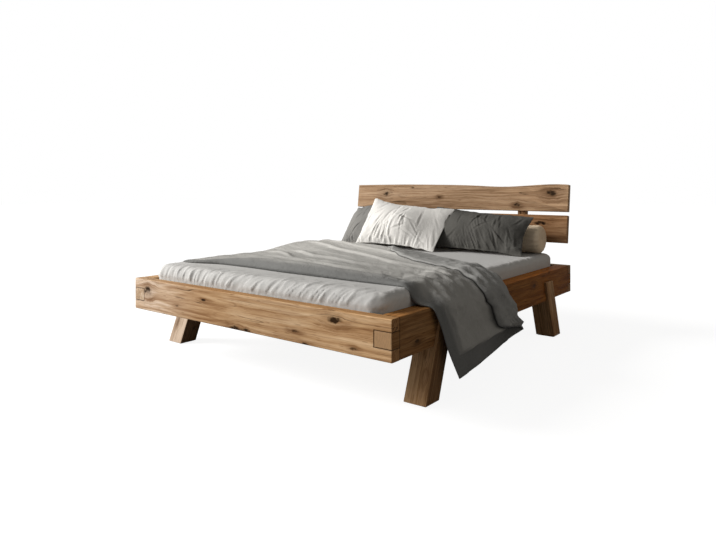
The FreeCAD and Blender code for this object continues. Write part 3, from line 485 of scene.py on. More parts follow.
def drawn_straight(path):
    """The same way, but drawn over the gap between the mattress and the beam's outer edge."""
    first = int(np.argmax(path[:, 0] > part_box("mattress")[1][0] - 0.02))
    last = len(path) - 3
    t = np.linspace(0, 1, last - first + 1)[:, None]
    line = path.copy()
    line[first:last + 1] = path[first] + t * (path[last] - path[first]) + (0, 0.008) * np.sin(math.pi * t)
    for _ in range(3):
        line[1:-1] = (line[:-2] + 2 * line[1:-1] + line[2:]) / 4
    return line


def ways_up(path):
    """The direction square to the path at each of its points."""
    tangent = np.gradient(path, axis=0)
    tangent /= np.linalg.norm(tangent, axis=1)[:, None]
    return np.column_stack([-tangent[:, 1], 0 * tangent[:, 0], tangent[:, 0]])


BLANKET_STEP = 0.009
# Where the blanket's foot and head edges lie, its height near its left edge, and how far it is turned
# back. Each: places across the bed, or along it for the height, and the values there.
FOOT_EDGE = ([-0.82, -0.7, -0.6, -0.5, -0.25, 0.03, 0.25, 0.47, 0.65, 0.8, 0.86, 0.9],
             [-0.815, -0.838, -0.8, -0.765, -0.765, -0.787, -0.787, -0.793, -0.785, -0.79, -0.778, -0.755])
HEAD_EDGE = ([-0.82, -0.7, -0.6, -0.25, -0.1, 0.05, 0.17, 0.34, 0.52, 0.66, 0.75, 0.82, 0.86, 0.9],
             [0.6, 0.598, 0.49, 0.487, 0.42, 0.315, 0.27, 0.195, 0.105, 0.015, -0.04, -0.075,
              -0.085, -0.075])
LEFT_LOFT = ([-0.85, -0.6, -0.33, -0.14, -0.05, 0.05, 0.15, 0.27, 0.37, 0.6],
             [0.008, 0.011, 0.01, 0.013, 0.026, 0.041, 0.051, 0.052, 0.044, 0.038])
FLAP_REACH = ([-0.82, -0.15, 0.0, 0.12, 0.27, 0.46, 0.6, 0.72, 0.82, 0.9],
              [0.02, 0.02, 0.1, 0.23, 0.31, 0.33, 0.285, 0.235, 0.225, 0.235])
# Long folds. Each: its height, its width, and its line: places across the bed and along it.
RIDGES = (
    (0.01, 0.022, (-0.62, -0.2, 0.1, 0.48, 0.66, 0.8), (-0.76, -0.705, -0.73, -0.735, -0.735, -0.735)),
    (0.012, 0.018, (-0.45, 0.0, 0.29, 0.47, 0.61, 0.82), (-0.5, -0.61, -0.66, -0.665, -0.63, -0.57)),
    (0.013, 0.02, (-0.55, -0.1, 0.29, 0.53, 0.68, 0.83), (-0.12, -0.4, -0.5, -0.47, -0.45, -0.46)),
    (0.012, 0.022, (-0.75, -0.4, -0.06, 0.1, 0.4, 0.75), (0.25, 0.09, -0.11, -0.19, -0.32, -0.37)),
    (0.008, 0.018, (-0.78, -0.55, -0.35, -0.15, 0.05, 0.2), (-0.15, -0.25, -0.38, -0.53, -0.55, -0.56)),
    (0.01, 0.024, (-0.75, -0.45, -0.2, 0.0, 0.15, 0.3), (0.43, 0.31, 0.19, 0.08, 0.0, -0.06)))


def ridge_height(x, y):
    """Long soft folds that run across the bed and draw together at the right beam."""
    total = np.zeros(len(y))
    for height, width, across, along in RIDGES:
        middle = np.interp(x, across, along) + 0.008 * math.sin(11 * x + 40 * width)
        first, last = across[0], across[-1]
        fade = smooth(first - 0.05, first + 0.25, x) * smooth(last + 0.1, last - 0.08, x)
        t = (y - middle) / width
        total += height * float(fade) * np.exp(-np.where(t < 0, t * 1.35, t * 0.75) ** 2)
    return total


def eased(x, table, reach):
    """A table read at x, its corners rounded off over the reach."""
    return np.mean([np.interp(x + d, *table) for d in np.linspace(-reach, reach, 9)], axis=0)


HANG_STEP = 0.004
# The hanging side's foot and head edges, from the beam down to the hem.
HANG_EDGES = (((0.924, -0.722, 0.318), (0.947, -0.704, 0.222), (0.991, -0.687, 0.107)),
              ((0.93, -0.055, 0.35), (0.95, -0.052, 0.282), (0.984, 0.004, 0.193)))


def blanket_stations():
    """For each place across the blanket: its lower face at the foot and the head edge, the way up, how far
    down the hanging side it is, how far it moves where it is drawn tight, and the way up there."""
    path = resampled(blanket_path(), BLANKET_STEP)
    tight = drawn_straight(path)
    up, tight_up = ways_up(path), ways_up(tight)
    foot, head = eased(path[:, 0], FOOT_EDGE, 0.05), eased(tight[:, 0], HEAD_EDGE, 0.05)
    stations = []
    for k in range(len(path)):
        move = (tight[k, 0] - path[k, 0], 0.0, tight[k, 1] - path[k, 1])
        stations.append(((path[k, 0], foot[k], path[k, 1]), (path[k, 0], head[k], path[k, 1]),
                         up[k], 0.0, move, tight_up[k]))
    lines = [resampled(np.array([start, *line]), HANG_STEP) for start, line in zip(stations[-1], HANG_EDGES)]
    out = np.array((0.985, 0.0, 0.17))
    for drop in np.linspace(0, 1, int(HANG_STEP * len(lines[0]) / BLANKET_STEP) + 1)[1:]:
        ends = [[np.interp(drop, np.linspace(0, 1, len(line)), axis) for axis in line.T] for line in lines]
        stations.append((*ends, out, drop, np.zeros(3), out))
    return stations


# Points round a section: the lower face, the bulge of the fold, the turned-back part and the upper face.
SHARE = np.sort(np.concatenate([np.linspace(0, 1, 130), [0.003, 0.0055, 0.011, 0.015]]))
BULGE_COUNT, FLAP_COUNT = 7, 64
LOWER_END = len(SHARE)
FLAP_TIP = LOWER_END + BULGE_COUNT + FLAP_COUNT
UPPER_START = FLAP_TIP + FLAP_COUNT - 2
RING_COUNT = UPPER_START + len(SHARE) - 2
BLANKET_MARKS = ("far", "border_and_shade", "turned", "fold_shadow")


class BlanketSection:
    """A cut through the blanket from its foot edge to its head edge. d is the way from the foot edge, and
    drop goes from 0 on the bed and beam to 1 at the hem of the hanging side."""

    def __init__(self, foot, head, up, drop, move, tight_up):
        self.foot, self.move, self.drop = np.array(foot), np.array(move), drop
        self.up, self.tight_up = up, tight_up
        run = np.array(head) - self.foot
        self.length = np.linalg.norm(run)
        self.along = run / self.length
        self.x = x = self.foot[0]
        self.d = d = SHARE * self.length
        self.y = self.foot[1] + d * self.along[1]
        hanging = drop > 0
        self.across = 0.925 + 0.31 * drop if hanging else x
        self.on_bed = 1 - smooth(0.62, 0.85, x)
        self.left = 1.0 if hanging else smooth(-0.815, -0.775, x)
        self.hang = 1.0 if hanging else smooth(0.8, 0.9, x)
        self.hem = smooth(1.0, 0.96, drop) if hanging else 1.0
        self.stitch = 0.7 + 0.1 * SHARE
        self.flange = smooth(self.stitch - 0.012, self.stitch + 0.012, drop)
        self.flat = np.maximum(self.flange, self.hang * (1 - smooth(0.084, 0.094, d)))
        self.thick = smooth(-0.78, -0.2, x)
        taper = 1 - 0.97 * smooth(0.62, 0.96, drop)
        self.reach = eased(x, FLAP_REACH, 0.04) * (1 - 0.25 * drop) * taper
        self.near_fold = smooth(self.length - 1.1 * max(self.reach, 0.1), self.length, d)

    def loft(self):
        """How high the filling stands."""
        thin = eased(self.y, LEFT_LOFT, 0.04)
        full = 0.042 - 0.02 * smooth(0.15, 0.75, self.x)
        loft = (thin * (1 - self.thick) + full * self.thick) * self.on_bed + 0.014 * (1 - self.on_bed)
        return loft * (1 - 0.62 * self.flat) * (0.3 + 0.7 * self.hem) * (0.4 + 0.6 * self.left)

    def relief(self):
        """Long folds, lumps, pleats where the cloth turns over the beam, and small creases."""
        x, y, d, drop = self.x, self.y, self.d, self.drop
        if drop == 0:
            relief = ridge_height(x, y) * (1 - 0.8 * self.near_fold)
            relief += 0.016 * bell(x, 0.85, 0.05) * bell(y, -0.64, 0.05)
            relief += 0.011 * bell(x, 0.8, 0.06) * bell(y, -0.5, 0.045)
            turn_over = bell(x, 0.85, 0.06)
        else:
            relief = 0.012 * bell(drop, 0.0, 0.1) * bell(y, -0.62, 0.035)
            waves = layered(d / 0.085 - 0.9 * drop, 0.7 * drop + 4.0, 52, 2)
            relief += 0.005 * waves * smooth(0.0, 0.1, d)
            turn_over = bell(drop, 0.0, 0.3) * 0.76
        lumps = layered(y / 0.08 + 3.0, self.across / 0.06, 71, 3)
        lumps = lumps * smooth(0.5, 0.72, self.across) * (1 - 0.6 * drop)
        lumps = lumps * (1 - 0.8 * self.flat) * smooth(0.0, 0.06, d)
        relief += 0.006 * lumps * (1 - 0.5 * self.near_fold)
        pleats = np.sin(2 * math.pi * (y + 0.5 * x) / 0.085 + 2.5 * value_noise(y / 0.11, 1.5, 57))
        relief += 0.005 * turn_over * pleats * smooth(0.0, 0.06, d)
        slope = y * 0.86 + x * 0.42
        crumple = 0.0026 * layered(slope / 0.07, (x * 0.86 - y * 0.42) / 0.62 + 2.0 * drop, 21, 3)
        crumple += 0.001 * layered(y / 0.05, (x + 0.4 * drop) / 0.07, 63, 2)
        return relief + crumple * (0.55 + 0.45 * self.on_bed) * (1 - 0.75 * self.flat)

    def puff(self):
        """The thickness, rounded off at the foot edge and drawn in along the stitches."""
        edge_round = quarter_round(self.d / (0.012 + 0.03 * self.on_bed * (0.3 + 0.7 * self.thick)))
        puff = self.loft() * (1 - 0.55 * self.near_fold * self.on_bed) * edge_round
        puff = np.maximum(puff + self.relief() * edge_round * self.left, 0.003 * edge_round)
        if self.drop > 0:
            puff = puff * (1 - 0.5 * bell(self.drop, self.stitch, 0.01))
        return puff * (1 - 0.45 * self.hang * bell(self.d, 0.09, 0.004))

    def swing(self):
        """How far the hanging side sways out."""
        if self.drop == 0:
            return np.zeros(len(self.d))
        swing = 0.009 * self.drop ** 1.3 * (0.5 - 0.5 * np.cos(2 * math.pi * 1.35 * SHARE))
        waver = value_noise(SHARE * 5, 1.0 + self.drop, 8)
        return swing + 0.006 * self.drop * waver * smooth(0, 0.1, SHARE)

    def flap(self, top):
        """The part turned back over the top: its points' way from the foot edge, and its two faces."""
        flap_d = np.linspace(self.length, self.length - self.reach, FLAP_COUNT)
        back = self.length - flap_d
        thick = (0.03 - 0.013 * self.on_bed) * (0.3 + 0.7 * self.left) * (0.3 + 0.7 * self.hem)
        thick *= 0.35 + 0.65 * smooth(0.02, 0.12, self.reach)
        bunch = bell(self.drop, 0.72, 0.12) if self.drop > 0 else 0.0
        lobes = layered(flap_d / 0.06 + 3.0, self.across / 0.07, 44, 3)
        pleat = np.sin(2 * math.pi * back / 0.031 - 1.2) * bunch * smooth(0.15, 0.11, back)
        body = thick * (0.62 + 0.55 * np.sin(math.pi * np.clip(back / self.reach, 0, 1) ** 1.4))
        body = body + 0.007 * (1 - 0.7 * self.on_bed) * lobes + 0.01 * bunch + 0.0085 * pleat
        tip = quarter_round((flap_d - (self.length - self.reach)) / (0.026 - 0.008 * self.on_bed))
        low = np.interp(flap_d, self.d, top) + 0.0012
        return flap_d, low, low + np.maximum(body, 0.004) * np.maximum(tip, 0.12)

    def ring(self):
        """The section's points: along the lower face, round the fold, and back over the upper face."""
        swing = self.swing()
        top = swing + self.puff()
        flap_d, flap_low, flap_top = self.flap(top)
        angle = np.linspace(-math.pi / 2, math.pi / 2, BULGE_COUNT + 2)[1:-1]
        middle, radius = (swing[-1] + flap_top[0]) / 2, (flap_top[0] - swing[-1]) / 2
        bulge = np.column_stack([self.length + radius * np.cos(angle), middle + radius * np.sin(angle)])
        contour = np.vstack([np.column_stack([self.d, swing]), bulge, np.column_stack([flap_d, flap_top]),
                             np.column_stack([flap_d, flap_low])[::-1][:-2],
                             np.column_stack([self.d, top])[::-1][1:-1]])
        held = smooth(0.06, 0.26, contour[:, :1])
        way_up = self.up + held * (self.tight_up - self.up)
        return self.foot + contour[:, :1] * self.along + held * self.move + contour[:, 1:] * way_up

    def marks(self):
        """Where the blanket changes colour, for each point of the ring: its darker border, and painted light
        and shade.
        """
        d, x, drop = self.d, self.x, self.drop
        # The foot face on the bed is darker, painted shade, mixed in with the border colour.
        low_edge = 0.092 + 0.045 * smooth(0.35, 0.8, x)
        low_face = 0.97 * (1 - smooth(0.006, low_edge, d)) * (1 - self.hang)
        darker = np.maximum(np.maximum(self.flange, self.hang * (1 - smooth(0.05, 0.12, d))), low_face)
        # Lighter towards the head over the left and middle of the bed: painted light.
        far = smooth(0.2, 0.8, SHARE) * (1 - smooth(0.3, 0.8, x))
        # A painted shadow along the tip of the turned-back part, and the border darker towards the head,
        # painted shade.
        hollow = 0.5 * smooth(0.66, 0.86, x) if drop == 0 else 0.5 + 0.4 * smooth(0.0, 0.35, drop)
        hollow = hollow * bell(d, self.length - self.reach, 0.014 + 0.012 * min(drop / 0.35, 1))
        fold_shadow = np.maximum(hollow, 0.45 * self.flange * smooth(0.35, 0.95, SHARE))
        own = {name: np.zeros(RING_COUNT) for name in BLANKET_MARKS}
        for name, values in (("border_and_shade", darker), ("far", far), ("fold_shadow", fold_shadow)):
            own[name][UPPER_START:] = values[::-1][1:-1]
        own["border_and_shade"][:LOWER_END] = 1
        # The turned-back part is darker all over: painted shade.
        own["turned"][LOWER_END:UPPER_START] = 1
        # A painted shadow line along the tip of the turned-back part.
        wide = 3 if x > 0.8 else 5
        own["fold_shadow"][FLAP_TIP - 1:FLAP_TIP + wide] = smooth(0.06, 0.14, self.reach)
        return own


def blanket_form(material):
    """The quilted blanket as one closed piece: puffy on the bed, its head edge turned back over
    itself, its right side over the beam and down to a flat stitched border."""
    sections = [BlanketSection(*station) for station in blanket_stations()]
    points = np.concatenate([section.ring() for section in sections])
    faces = tube_faces(len(sections), RING_COUNT)
    obj = make_object("blanket_quilt", points, faces, material)
    marks = [section.marks() for section in sections]
    for name in BLANKET_MARKS:
        mark(obj, name, np.concatenate([own[name] for own in marks]))
    return obj


def pillow_shell(name, width, height, seed, material, slot):
    """Two flat layers of cloth joined round their rim, ready to be filled."""
    nx, ny, corner = 120, 64, 0.014
    u, v = np.meshgrid(np.linspace(-1, 1, nx), np.linspace(-1, 1, ny))
    x, y = u * width / 2, v * height / 2
    over_x = np.maximum(np.abs(x) - (width / 2 - corner), 0)
    over_y = np.maximum(np.abs(y) - (height / 2 - corner), 0)
    x = x - np.sign(x) * over_x * (1 - np.sqrt(1 - over_y ** 2 / (2 * corner ** 2)))
    y = y - np.sign(y) * over_y * (1 - np.sqrt(1 - over_x ** 2 / (2 * corner ** 2)))
    y = y * (1 - 0.085 * (1 - u ** 2)) + 0.004 * np.abs(v) * layered(u * 7, 2, seed, 2)
    x = x * (1 - 0.045 * (1 - v ** 2))
    fill = (1 - u ** 6) * (1 - v ** 4)
    jitter = 0.003 * layered(x / 0.09 + seed, y / 0.09, seed, 2) * fill
    top = np.stack([x, y, 0.014 * fill + jitter], -1).reshape(-1, 3)
    index = np.arange(nx * ny).reshape(ny, nx)
    rim = ((np.abs(u) > 0.999) | (np.abs(v) > 0.999)).reshape(-1)
    under = top.copy()
    under[:, 2] = (-0.014 * fill + jitter).reshape(-1)
    below = np.where(rim, index.reshape(-1), -1)
    extra = np.flatnonzero(below < 0)
    below[extra] = nx * ny + np.arange(len(extra))
    below = below.reshape(ny, nx)
    faces = []
    for r in range(ny - 1):
        for c in range(nx - 1):
            faces.append((index[r, c], index[r, c + 1], index[r + 1, c + 1], index[r + 1, c]))
            faces.append((below[r, c], below[r + 1, c], below[r + 1, c + 1], below[r, c + 1]))
    faces = [tuple(int(k) for k in f) for f in faces]
    obj = make_object(name, np.vstack([top, under[extra]]), faces, material)
    inside = np.flatnonzero(~rim).tolist() + list(range(nx * ny, nx * ny + len(extra)))
    for group, members in (("full", inside), ("seam", np.flatnonzero(rim).tolist())):
        obj.vertex_groups.new(name=group).add(members, 1.0, "REPLACE")
    return obj


CLOTH = dict(quality=6, mass=0.2, tension_stiffness=22, compression_stiffness=14, shear_stiffness=6,
             bending_stiffness=0.03, vertex_group_mass="seam", vertex_group_shrink="full", shrink_min=0.0,
             shrink_max=-0.045, use_pressure=True, uniform_pressure_force=14)
CLOTH_FRAMES = 24


def fill_pillows(shells):
    """Blows the shells up as cloth, cut a little larger than its seams, and keeps the result."""
    for obj in shells:
        cloth = obj.modifiers.new("Cloth", "CLOTH")
        for key, value in CLOTH.items():
            setattr(cloth.settings, key, value)
        cloth.settings.effector_weights.gravity = 0
        cloth.collision_settings.use_collision = False
    for k in range(1, CLOTH_FRAMES + 1):
        scene.frame_set(k)
    graph = bpy.context.evaluated_depsgraph_get()
    for obj in shells:
        filled = bpy.data.meshes.new_from_object(obj.evaluated_get(graph))
        obj.modifiers.clear()
        obj.vertex_groups.clear()
        old = obj.data
        obj.data = filled
        bpy.data.meshes.remove(old)
    scene.frame_set(1)


def turn(points, axis, degrees):
    a = math.radians(degrees)
    c, s = math.cos(a), math.sin(a)
    m = np.eye(3)
    i, j = {"x": (1, 2), "z": (0, 1)}[axis]
    m[i, i], m[i, j], m[j, i], m[j, j] = c, -s, s, c
    return points @ m.T


def drawn_corners(p, size, ears):
    """Pulls corners of a pillow out in its own plane. Each ear: which corner, and how far it goes."""
    p = p.copy()
    half_x, half_y = size[0] / 2, size[1] / 2
    for side, end, across, up in ears:
        near = bell(side * p[:, 0], half_x, 0.3 * half_x) * bell(end * p[:, 1], half_y, 0.6 * half_y)
        p[:, 0] += across * near
        p[:, 1] += up * near
    return p


def creased(p, size, seed, bend, slump):
    """Pleats along the seams, small creases and lumps over the filled face. Bend turns the right end
    back, and slump is how much of its filling is missing there."""
    half_x, half_y = size[0] / 2, size[1] / 2
    x, y, front = p[:, 0], p[:, 1], np.where(p[:, 2] >= 0, 1.0, -1.0)
    body = np.clip(np.abs(p[:, 2]) / (size[2] * 0.22), 0, 1)
    seam_body = np.clip(np.abs(p[:, 2]) / (size[2] * 0.07), 0, 1)
    relief = 0.0048 * layered(x / 0.11 + seed, y / 0.11 + front, 81, 2)
    pleats = np.zeros(len(p))
    seams = ((y + half_y, x, 0.014, 0.15, 0.0), (half_y - y, x, 0.005, 0.06, 7.3),
             (half_x - np.abs(x), y, 0.0055, 0.06, 3.1))
    for gap, place, amount, reach, shift in seams:
        lean = 0.6 * value_noise(place / 0.15 + shift, seed, 71)
        wave = 1 - np.abs(value_noise((place + lean * gap) / 0.021 + shift, gap / 0.1 + seed, 75))
        length = reach * (0.75 + 0.7 * value_noise(place / 0.05 + shift, seed + 2.0, 77))
        pleats = pleats + amount * (wave ** 2 - 0.4) * bell(gap, 0, np.maximum(length, 0.02))
    rng = np.random.RandomState(100 + seed)
    for _ in range(28):
        cx, cy = rng.uniform(-0.9, 0.9) * half_x, rng.uniform(-0.8, 0.75) * half_y
        a = math.radians(rng.normal(62, 24) if cx < 0.2 * half_x else rng.normal(115, 28))
        along = (x - cx) * math.cos(a) + (y - cy) * math.sin(a)
        across = -(x - cx) * math.sin(a) + (y - cy) * math.cos(a) + rng.uniform(-1.2, 1.2) * along ** 2
        long, wide, deep = rng.uniform(0.025, 0.07), rng.uniform(0.005, 0.008), rng.uniform(0.0016, 0.0046)
        groove = 0.8 * deep * bell(across, 1.6 * wide, wide) - deep * bell(across, 0, wide)
        relief = relief + bell(along, 0, long) * groove
    relief = relief - 0.0045 * bell(half_x - x, 0.022, 0.006)
    p = p.copy()
    p[:, 2] += front * (relief * body + pleats * seam_body)
    p[:, 2] *= np.where(p[:, 2] > 0, 1.3 * (1 - slump * smooth(0.12, 0.75, x / half_x)), 0.75)
    p[:, 2] -= bend * np.clip(x / half_x - 0.22, 0, None) ** 1.5 * (0.7 + 0.3 * y / half_y)
    return p


def seat_pillow(obj, size, slope, place, angles, on, seed, bend=0.0, slump=0.0, ears=()):
    """Brings a filled shell to its size, creases it, raises one end and leans it where it stands."""
    p = np.empty(len(obj.data.vertices) * 3)
    obj.data.vertices.foreach_get("co", p)
    p = p.reshape(-1, 3)
    p = p - (p.max(0) + p.min(0)) / 2
    p = p * np.array(size) / (p.max(0) - p.min(0))
    p = drawn_corners(creased(p, size, seed, bend, slump), size, ears)
    p[:, 1] += size[1] / 2
    p[:, 1] *= 1 - slope * p[:, 0] / (size[0] / 2)
    lean, about_z, roll = angles
    p = turn(turn(turn(p, "z", roll), "x", lean), "z", about_z)
    p += np.array([*place, on - p[:, 2].min()])
    obj.data.vertices.foreach_set("co", np.ascontiguousarray(p).reshape(-1))
    obj.data.update()
    smoother = obj.modifiers.new("Smooth", "SUBSURF")
    smoother.levels = smoother.render_levels = 1


def neck_roll_form(material):
    """A long round bolster, gathered at its ends."""
    low, high = (np.array(v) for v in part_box("neck_roll"))
    centre = (low + high) / 2
    half, _, radius = (high - low) / 2
    profile = [(half - 0.012, 0.004), (half - 0.006, 0.02), (half - 0.001, 0.045), (half - 0.002, 0.066)]
    for a in np.linspace(0.25, math.pi / 2, 8):
        profile.append((half - 0.034 + 0.034 * math.cos(a), radius - 0.034 + 0.034 * math.sin(a)))
    tail = [(-x, r) for x, r in profile][::-1]
    profile = profile + [(x, radius) for x in np.linspace(half - 0.05, -half + 0.05, 150)] + tail
    around = 96
    angle = np.linspace(0, 2 * math.pi, around, endpoint=False)
    points = []
    for x, r in profile:
        end = smooth(half - 0.16, half, abs(x))
        gather = 0.0026 * end * np.cos(angle * 22 + 2 * np.sin(angle * 3)) * smooth(0.01, 0.05, r)
        soft = layered(x / 0.16, np.cos(angle) * 1.6 + np.sin(angle) * 2.3, 31, 3)
        rr = r + (gather + 0.0022 * soft - 0.002) * smooth(0.02, 0.08, r)
        points.append(np.column_stack([np.full(around, centre[0] + x), centre[1] + rr * np.cos(angle),
                                       centre[2] + rr * np.sin(angle)]))
    faces = tube_faces(len(profile), around)
    obj = make_object("neck_roll_cover", np.concatenate(points), faces, material)
    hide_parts("neck_roll")
    return obj


# Finishes of the CAD pieces

def finish(names, material):
    for name in names:
        mesh = NODES[name].data
        mesh.materials.clear()
        mesh.materials.append(material)


def ease_edges(names, width):
    """Lightly rounded arrises on the sawn timber."""
    for name in names:
        obj = NODES[name]
        weld = obj.modifiers.new("Weld", "WELD")
        weld.merge_threshold = 0.00002
        bevel = obj.modifiers.new("Arris", "BEVEL")
        bevel.width = width
        bevel.segments = 2
        bevel.limit_method = "ANGLE"
        bevel.angle_limit = math.radians(38)
        bevel.use_clamp_overlap = False


X, Y = (1, 0, 0), (0, 1, 0)


def knots_on(axis, face, rows):
    """Knots on a face square to the X or Y axis. Each row: place along it, height, radius, stretch."""
    return [((face, along, z) if axis == X else (along, face, z), radius, stretch)
            for along, z, radius, stretch in rows]


FOOT_KNOTS = knots_on(Y, -1.062, (
    (-0.768, 0.352, 0.03, 1.3), (-0.272, 0.358, 0.0065, 4.5), (-0.035, 0.246, 0.016, 3.0),
    (0.045, 0.247, 0.006, 7.0), (0.369, 0.292, 0.008, 3.6), (0.43, 0.246, 0.005, 5.0),
    (0.602, 0.375, 0.02, 2.4), (0.699, 0.268, 0.0085, 2.8), (-0.5, 0.3, 0.006, 3.0)))
HEAD_KNOTS = knots_on(Y, 1.062, (
    (-0.55, 0.33, 0.022, 1.8), (0.2, 0.3, 0.014, 2.3), (0.7, 0.37, 0.018, 1.7)))
RIGHT_KNOTS = knots_on(X, 0.893, (
    (-0.875, 0.293, 0.011, 2.2), (-0.35, 0.33, 0.018, 2.0), (0.6, 0.3, 0.009, 2.4), (0.42, 0.36, 0.016, 1.8)))
LEFT_KNOTS = knots_on(X, -0.893, (
    (-0.62, 0.34, 0.02, 1.9), (0.15, 0.29, 0.014, 2.2), (0.8, 0.35, 0.022, 1.7)))
UPPER_KNOTS = [((-0.6, 1.046, 0.88), 0.025, 1.5), ((0.528, 1.038, 0.812), 0.016, 1.7),
               ((0.766, 1.048, 0.898), 0.027, 1.7), ((-0.1, 1.045, 0.86), 0.008, 2.5)]
LOWER_KNOTS = [((0.7, 1.023, 0.692), 0.016, 4.2), ((-0.35, 1.02, 0.66), 0.02, 1.6),
               ((0.12, 1.02, 0.7), 0.012, 2.4)]

# Faces with a tint of their own, much of it painted light and shade: the axis, and where along it the tint
# comes in, just under the face.
RIGHT_END, LEFT_END = ("X", 0.8912, 0.8925), ("X", -0.8912, -0.8925)
FOOT_END, BEAM_TOP = ("Y", -1.06, -1.0615), ("Z", 0.414, 0.4155)
LEG_RIGHT, LEG_LEFT, LEG_INNER = ("X", 0.9045, 0.9055), ("X", -0.9045, -0.9055), ("X", -0.7945, -0.793)
# End faces darker: the end grain, and partly painted shade.
END_GRAIN_AND_SHADE = [(*face, None, (0.55, 0.45, 0.36)) for face in (RIGHT_END, LEFT_END)]
# The foot beam is paler and greyer towards its left end and lighter towards its right: painted light. Its top
# face is darker: painted shade.
FOOT_SHADES = [("X", -0.2, -0.72, None, (1.15, 1.33, 1.72)), ("X", 0.25, 0.75, None, (1.22, 1.23, 1.23)),
               (*BEAM_TOP, None, (0.74, 0.65, 0.52)), *END_GRAIN_AND_SHADE]
# The right beam is darker and browner towards the head and lighter on its top face, painted light, and its
# tongue's end is mixed towards a plain end-grain colour.
RIGHT_SHADES = [("Y", -0.85, -0.2, None, (0.93, 0.76, 0.52)), ("Y", 0.0, 0.6, None, (1.0, 0.88, 0.72)),
                (*BEAM_TOP, None, (1.55, 1.46, 1.25)), (*FOOT_END, 0.55, (0.58, 0.375, 0.21))]
# The left beam's tongue end is paler and greyer: painted light.
LEFT_SHADES = [(*FOOT_END, None, (1.05, 1.24, 1.6))]
# The upper plank is lighter towards its right end: painted light.
UPPER_SHADES = [("X", 0.0, 0.75, None, (1.33, 1.34, 1.35))]

# Each piece: the grain's way, the way across it, the tones, the seed, the knots, how cracked it is, the
# pith's place, whether the corner joints show, and the shades.
OAK = {"foot_beam": (X, Y, HONEY, 2.0, FOOT_KNOTS, 0.9, (-1.2, 0.33), True, FOOT_SHADES),
       "head_beam": (X, Y, HONEY, 5.0, HEAD_KNOTS, 0.4, (0.98, 0.3), True, END_GRAIN_AND_SHADE),
       "right_side_beam": (Y, X, SHADED_BROWN, 3.0, RIGHT_KNOTS, 0.6, (0.72, -0.36), True, RIGHT_SHADES),
       "left_side_beam": (Y, X, HONEY, 7.0, LEFT_KNOTS, 0.5, (-0.76, -0.3), True, LEFT_SHADES),
       "upper_headboard_plank": (X, Y, UPPER, 11.0, UPPER_KNOTS, 0.5, (0.9, 0.8), False, UPPER_SHADES),
       "lower_headboard_plank": (X, Y, LOWER, 13.0, LOWER_KNOTS, 0.5, (1.2, 0.62))}
LEG_LEAN = math.tan(math.radians(20.8))
LEG_SHADOW = (*LEG_INNER, None, (0.33, 0.25, 0.18))
# The left foot leg takes the pale tone, painted light, with its outer face tinted back towards plain oak; the
# right legs take the leg tone with darker right faces, painted shade; and the left legs' inner faces are
# darker, painted shadow.
for end, lean, side, sign, tones, shades in (
        ("foot", -1, "left", -1, LIT_PALE, [LEG_SHADOW, (*LEG_LEFT, None, (0.84, 0.7, 0.56))]),
        ("foot", -1, "right", 1, LEG, [(*LEG_RIGHT, None, (0.48, 0.43, 0.37))]),
        ("head", 1, "left", -1, HONEY, [LEG_SHADOW]),
        ("head", 1, "right", 1, LEG, [(*LEG_RIGHT, None, (0.95, 0.9, 0.84))])):
    knots = [((sign * 0.875, lean * 0.79, 0.12), 0.01, 2.5), ((sign * 0.86, lean * 0.735, 0.21), 0.007, 3.0)]
    OAK[f"{end}_{side}_leg"] = ((0, -lean * LEG_LEAN, 1), X, tones, 18.0 + sign + lean, knots, 0.7,
                                (sign * 0.8, 0.7), False, shades)
for name, wood in OAK.items():
    finish([name], oak("oak_" + name, *wood))
POSTS = ["left_headboard_post", "right_headboard_post"]
# The posts take the lower tone, darker: painted shade.
finish(POSTS, oak("oak_posts", (0, 0.124, 1), X, LOWER, 23.0))
ease_edges([*OAK, *POSTS], width=0.0022)
PINE = ("_slats", "_slat_ledger", "centre_beam", "centre_leg")
STEEL = ("_bracket", "_hanger", "_screws", "_bolts", "_washers", "_inserts", "_stud")
for ends, material in ((PINE, pine("pine")), (STEEL, steel("zinc_steel")),
                       ("_straps", fabric("webbing", (0.72, 0.7, 0.66))),
                       (("_glides", "_glide"), felt("felt", (0.08, 0.075, 0.07)))):
    finish([name for name in NODES if name.endswith(ends)], material)

# Bedding in place

# The cover lies just inside the mattress's solid, and the sheet just outside it.
low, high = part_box("mattress")
cover = mattress_form("mattress_block", fabric("mattress_cover", (0.78, 0.77, 0.75)),
                      high[0] - 0.0008, high[1] - 0.0008, low[2], high[2] - 0.0005,
                      corner=0.076, rounding=0.064, wrinkle=0, step=0.02)
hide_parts("mattress")
# The sheet is lighter on its right-facing sides: painted light.
SHEET_FABRIC = fabric("sheet_cotton", (0.474, 0.469, 0.459), 0.04, 0.35, [("right", (0.6, 0.59, 0.57))])
sheet = mattress_form("fitted_sheet_cloth", SHEET_FABRIC,
                      high[0] + 0.0012, high[1] + 0.0012, low[2] + 0.025, high[2] + 0.0012,
                      corner=0.078, rounding=0.066, wrinkle=0.011, step=0.005)
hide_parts("fitted_sheet")

# The colours of the marks: the far part lighter, painted light; the turned-back part darker, painted shade;
# the border a darker cloth, which on the bed's foot face is painted shade; and a near-black painted shadow
# along the fold.
BLANKET_PARTS = (("far", (0.5, 0.49, 0.465)), ("turned", (0.31, 0.308, 0.298)),
                 ("border_and_shade", (0.17, 0.171, 0.167)), ("fold_shadow", (0.05, 0.05, 0.048)))
blanket = blanket_form(fabric("blanket_cotton", (0.37, 0.363, 0.345), 0.12, 1.2, BLANKET_PARTS))
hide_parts("blanket")

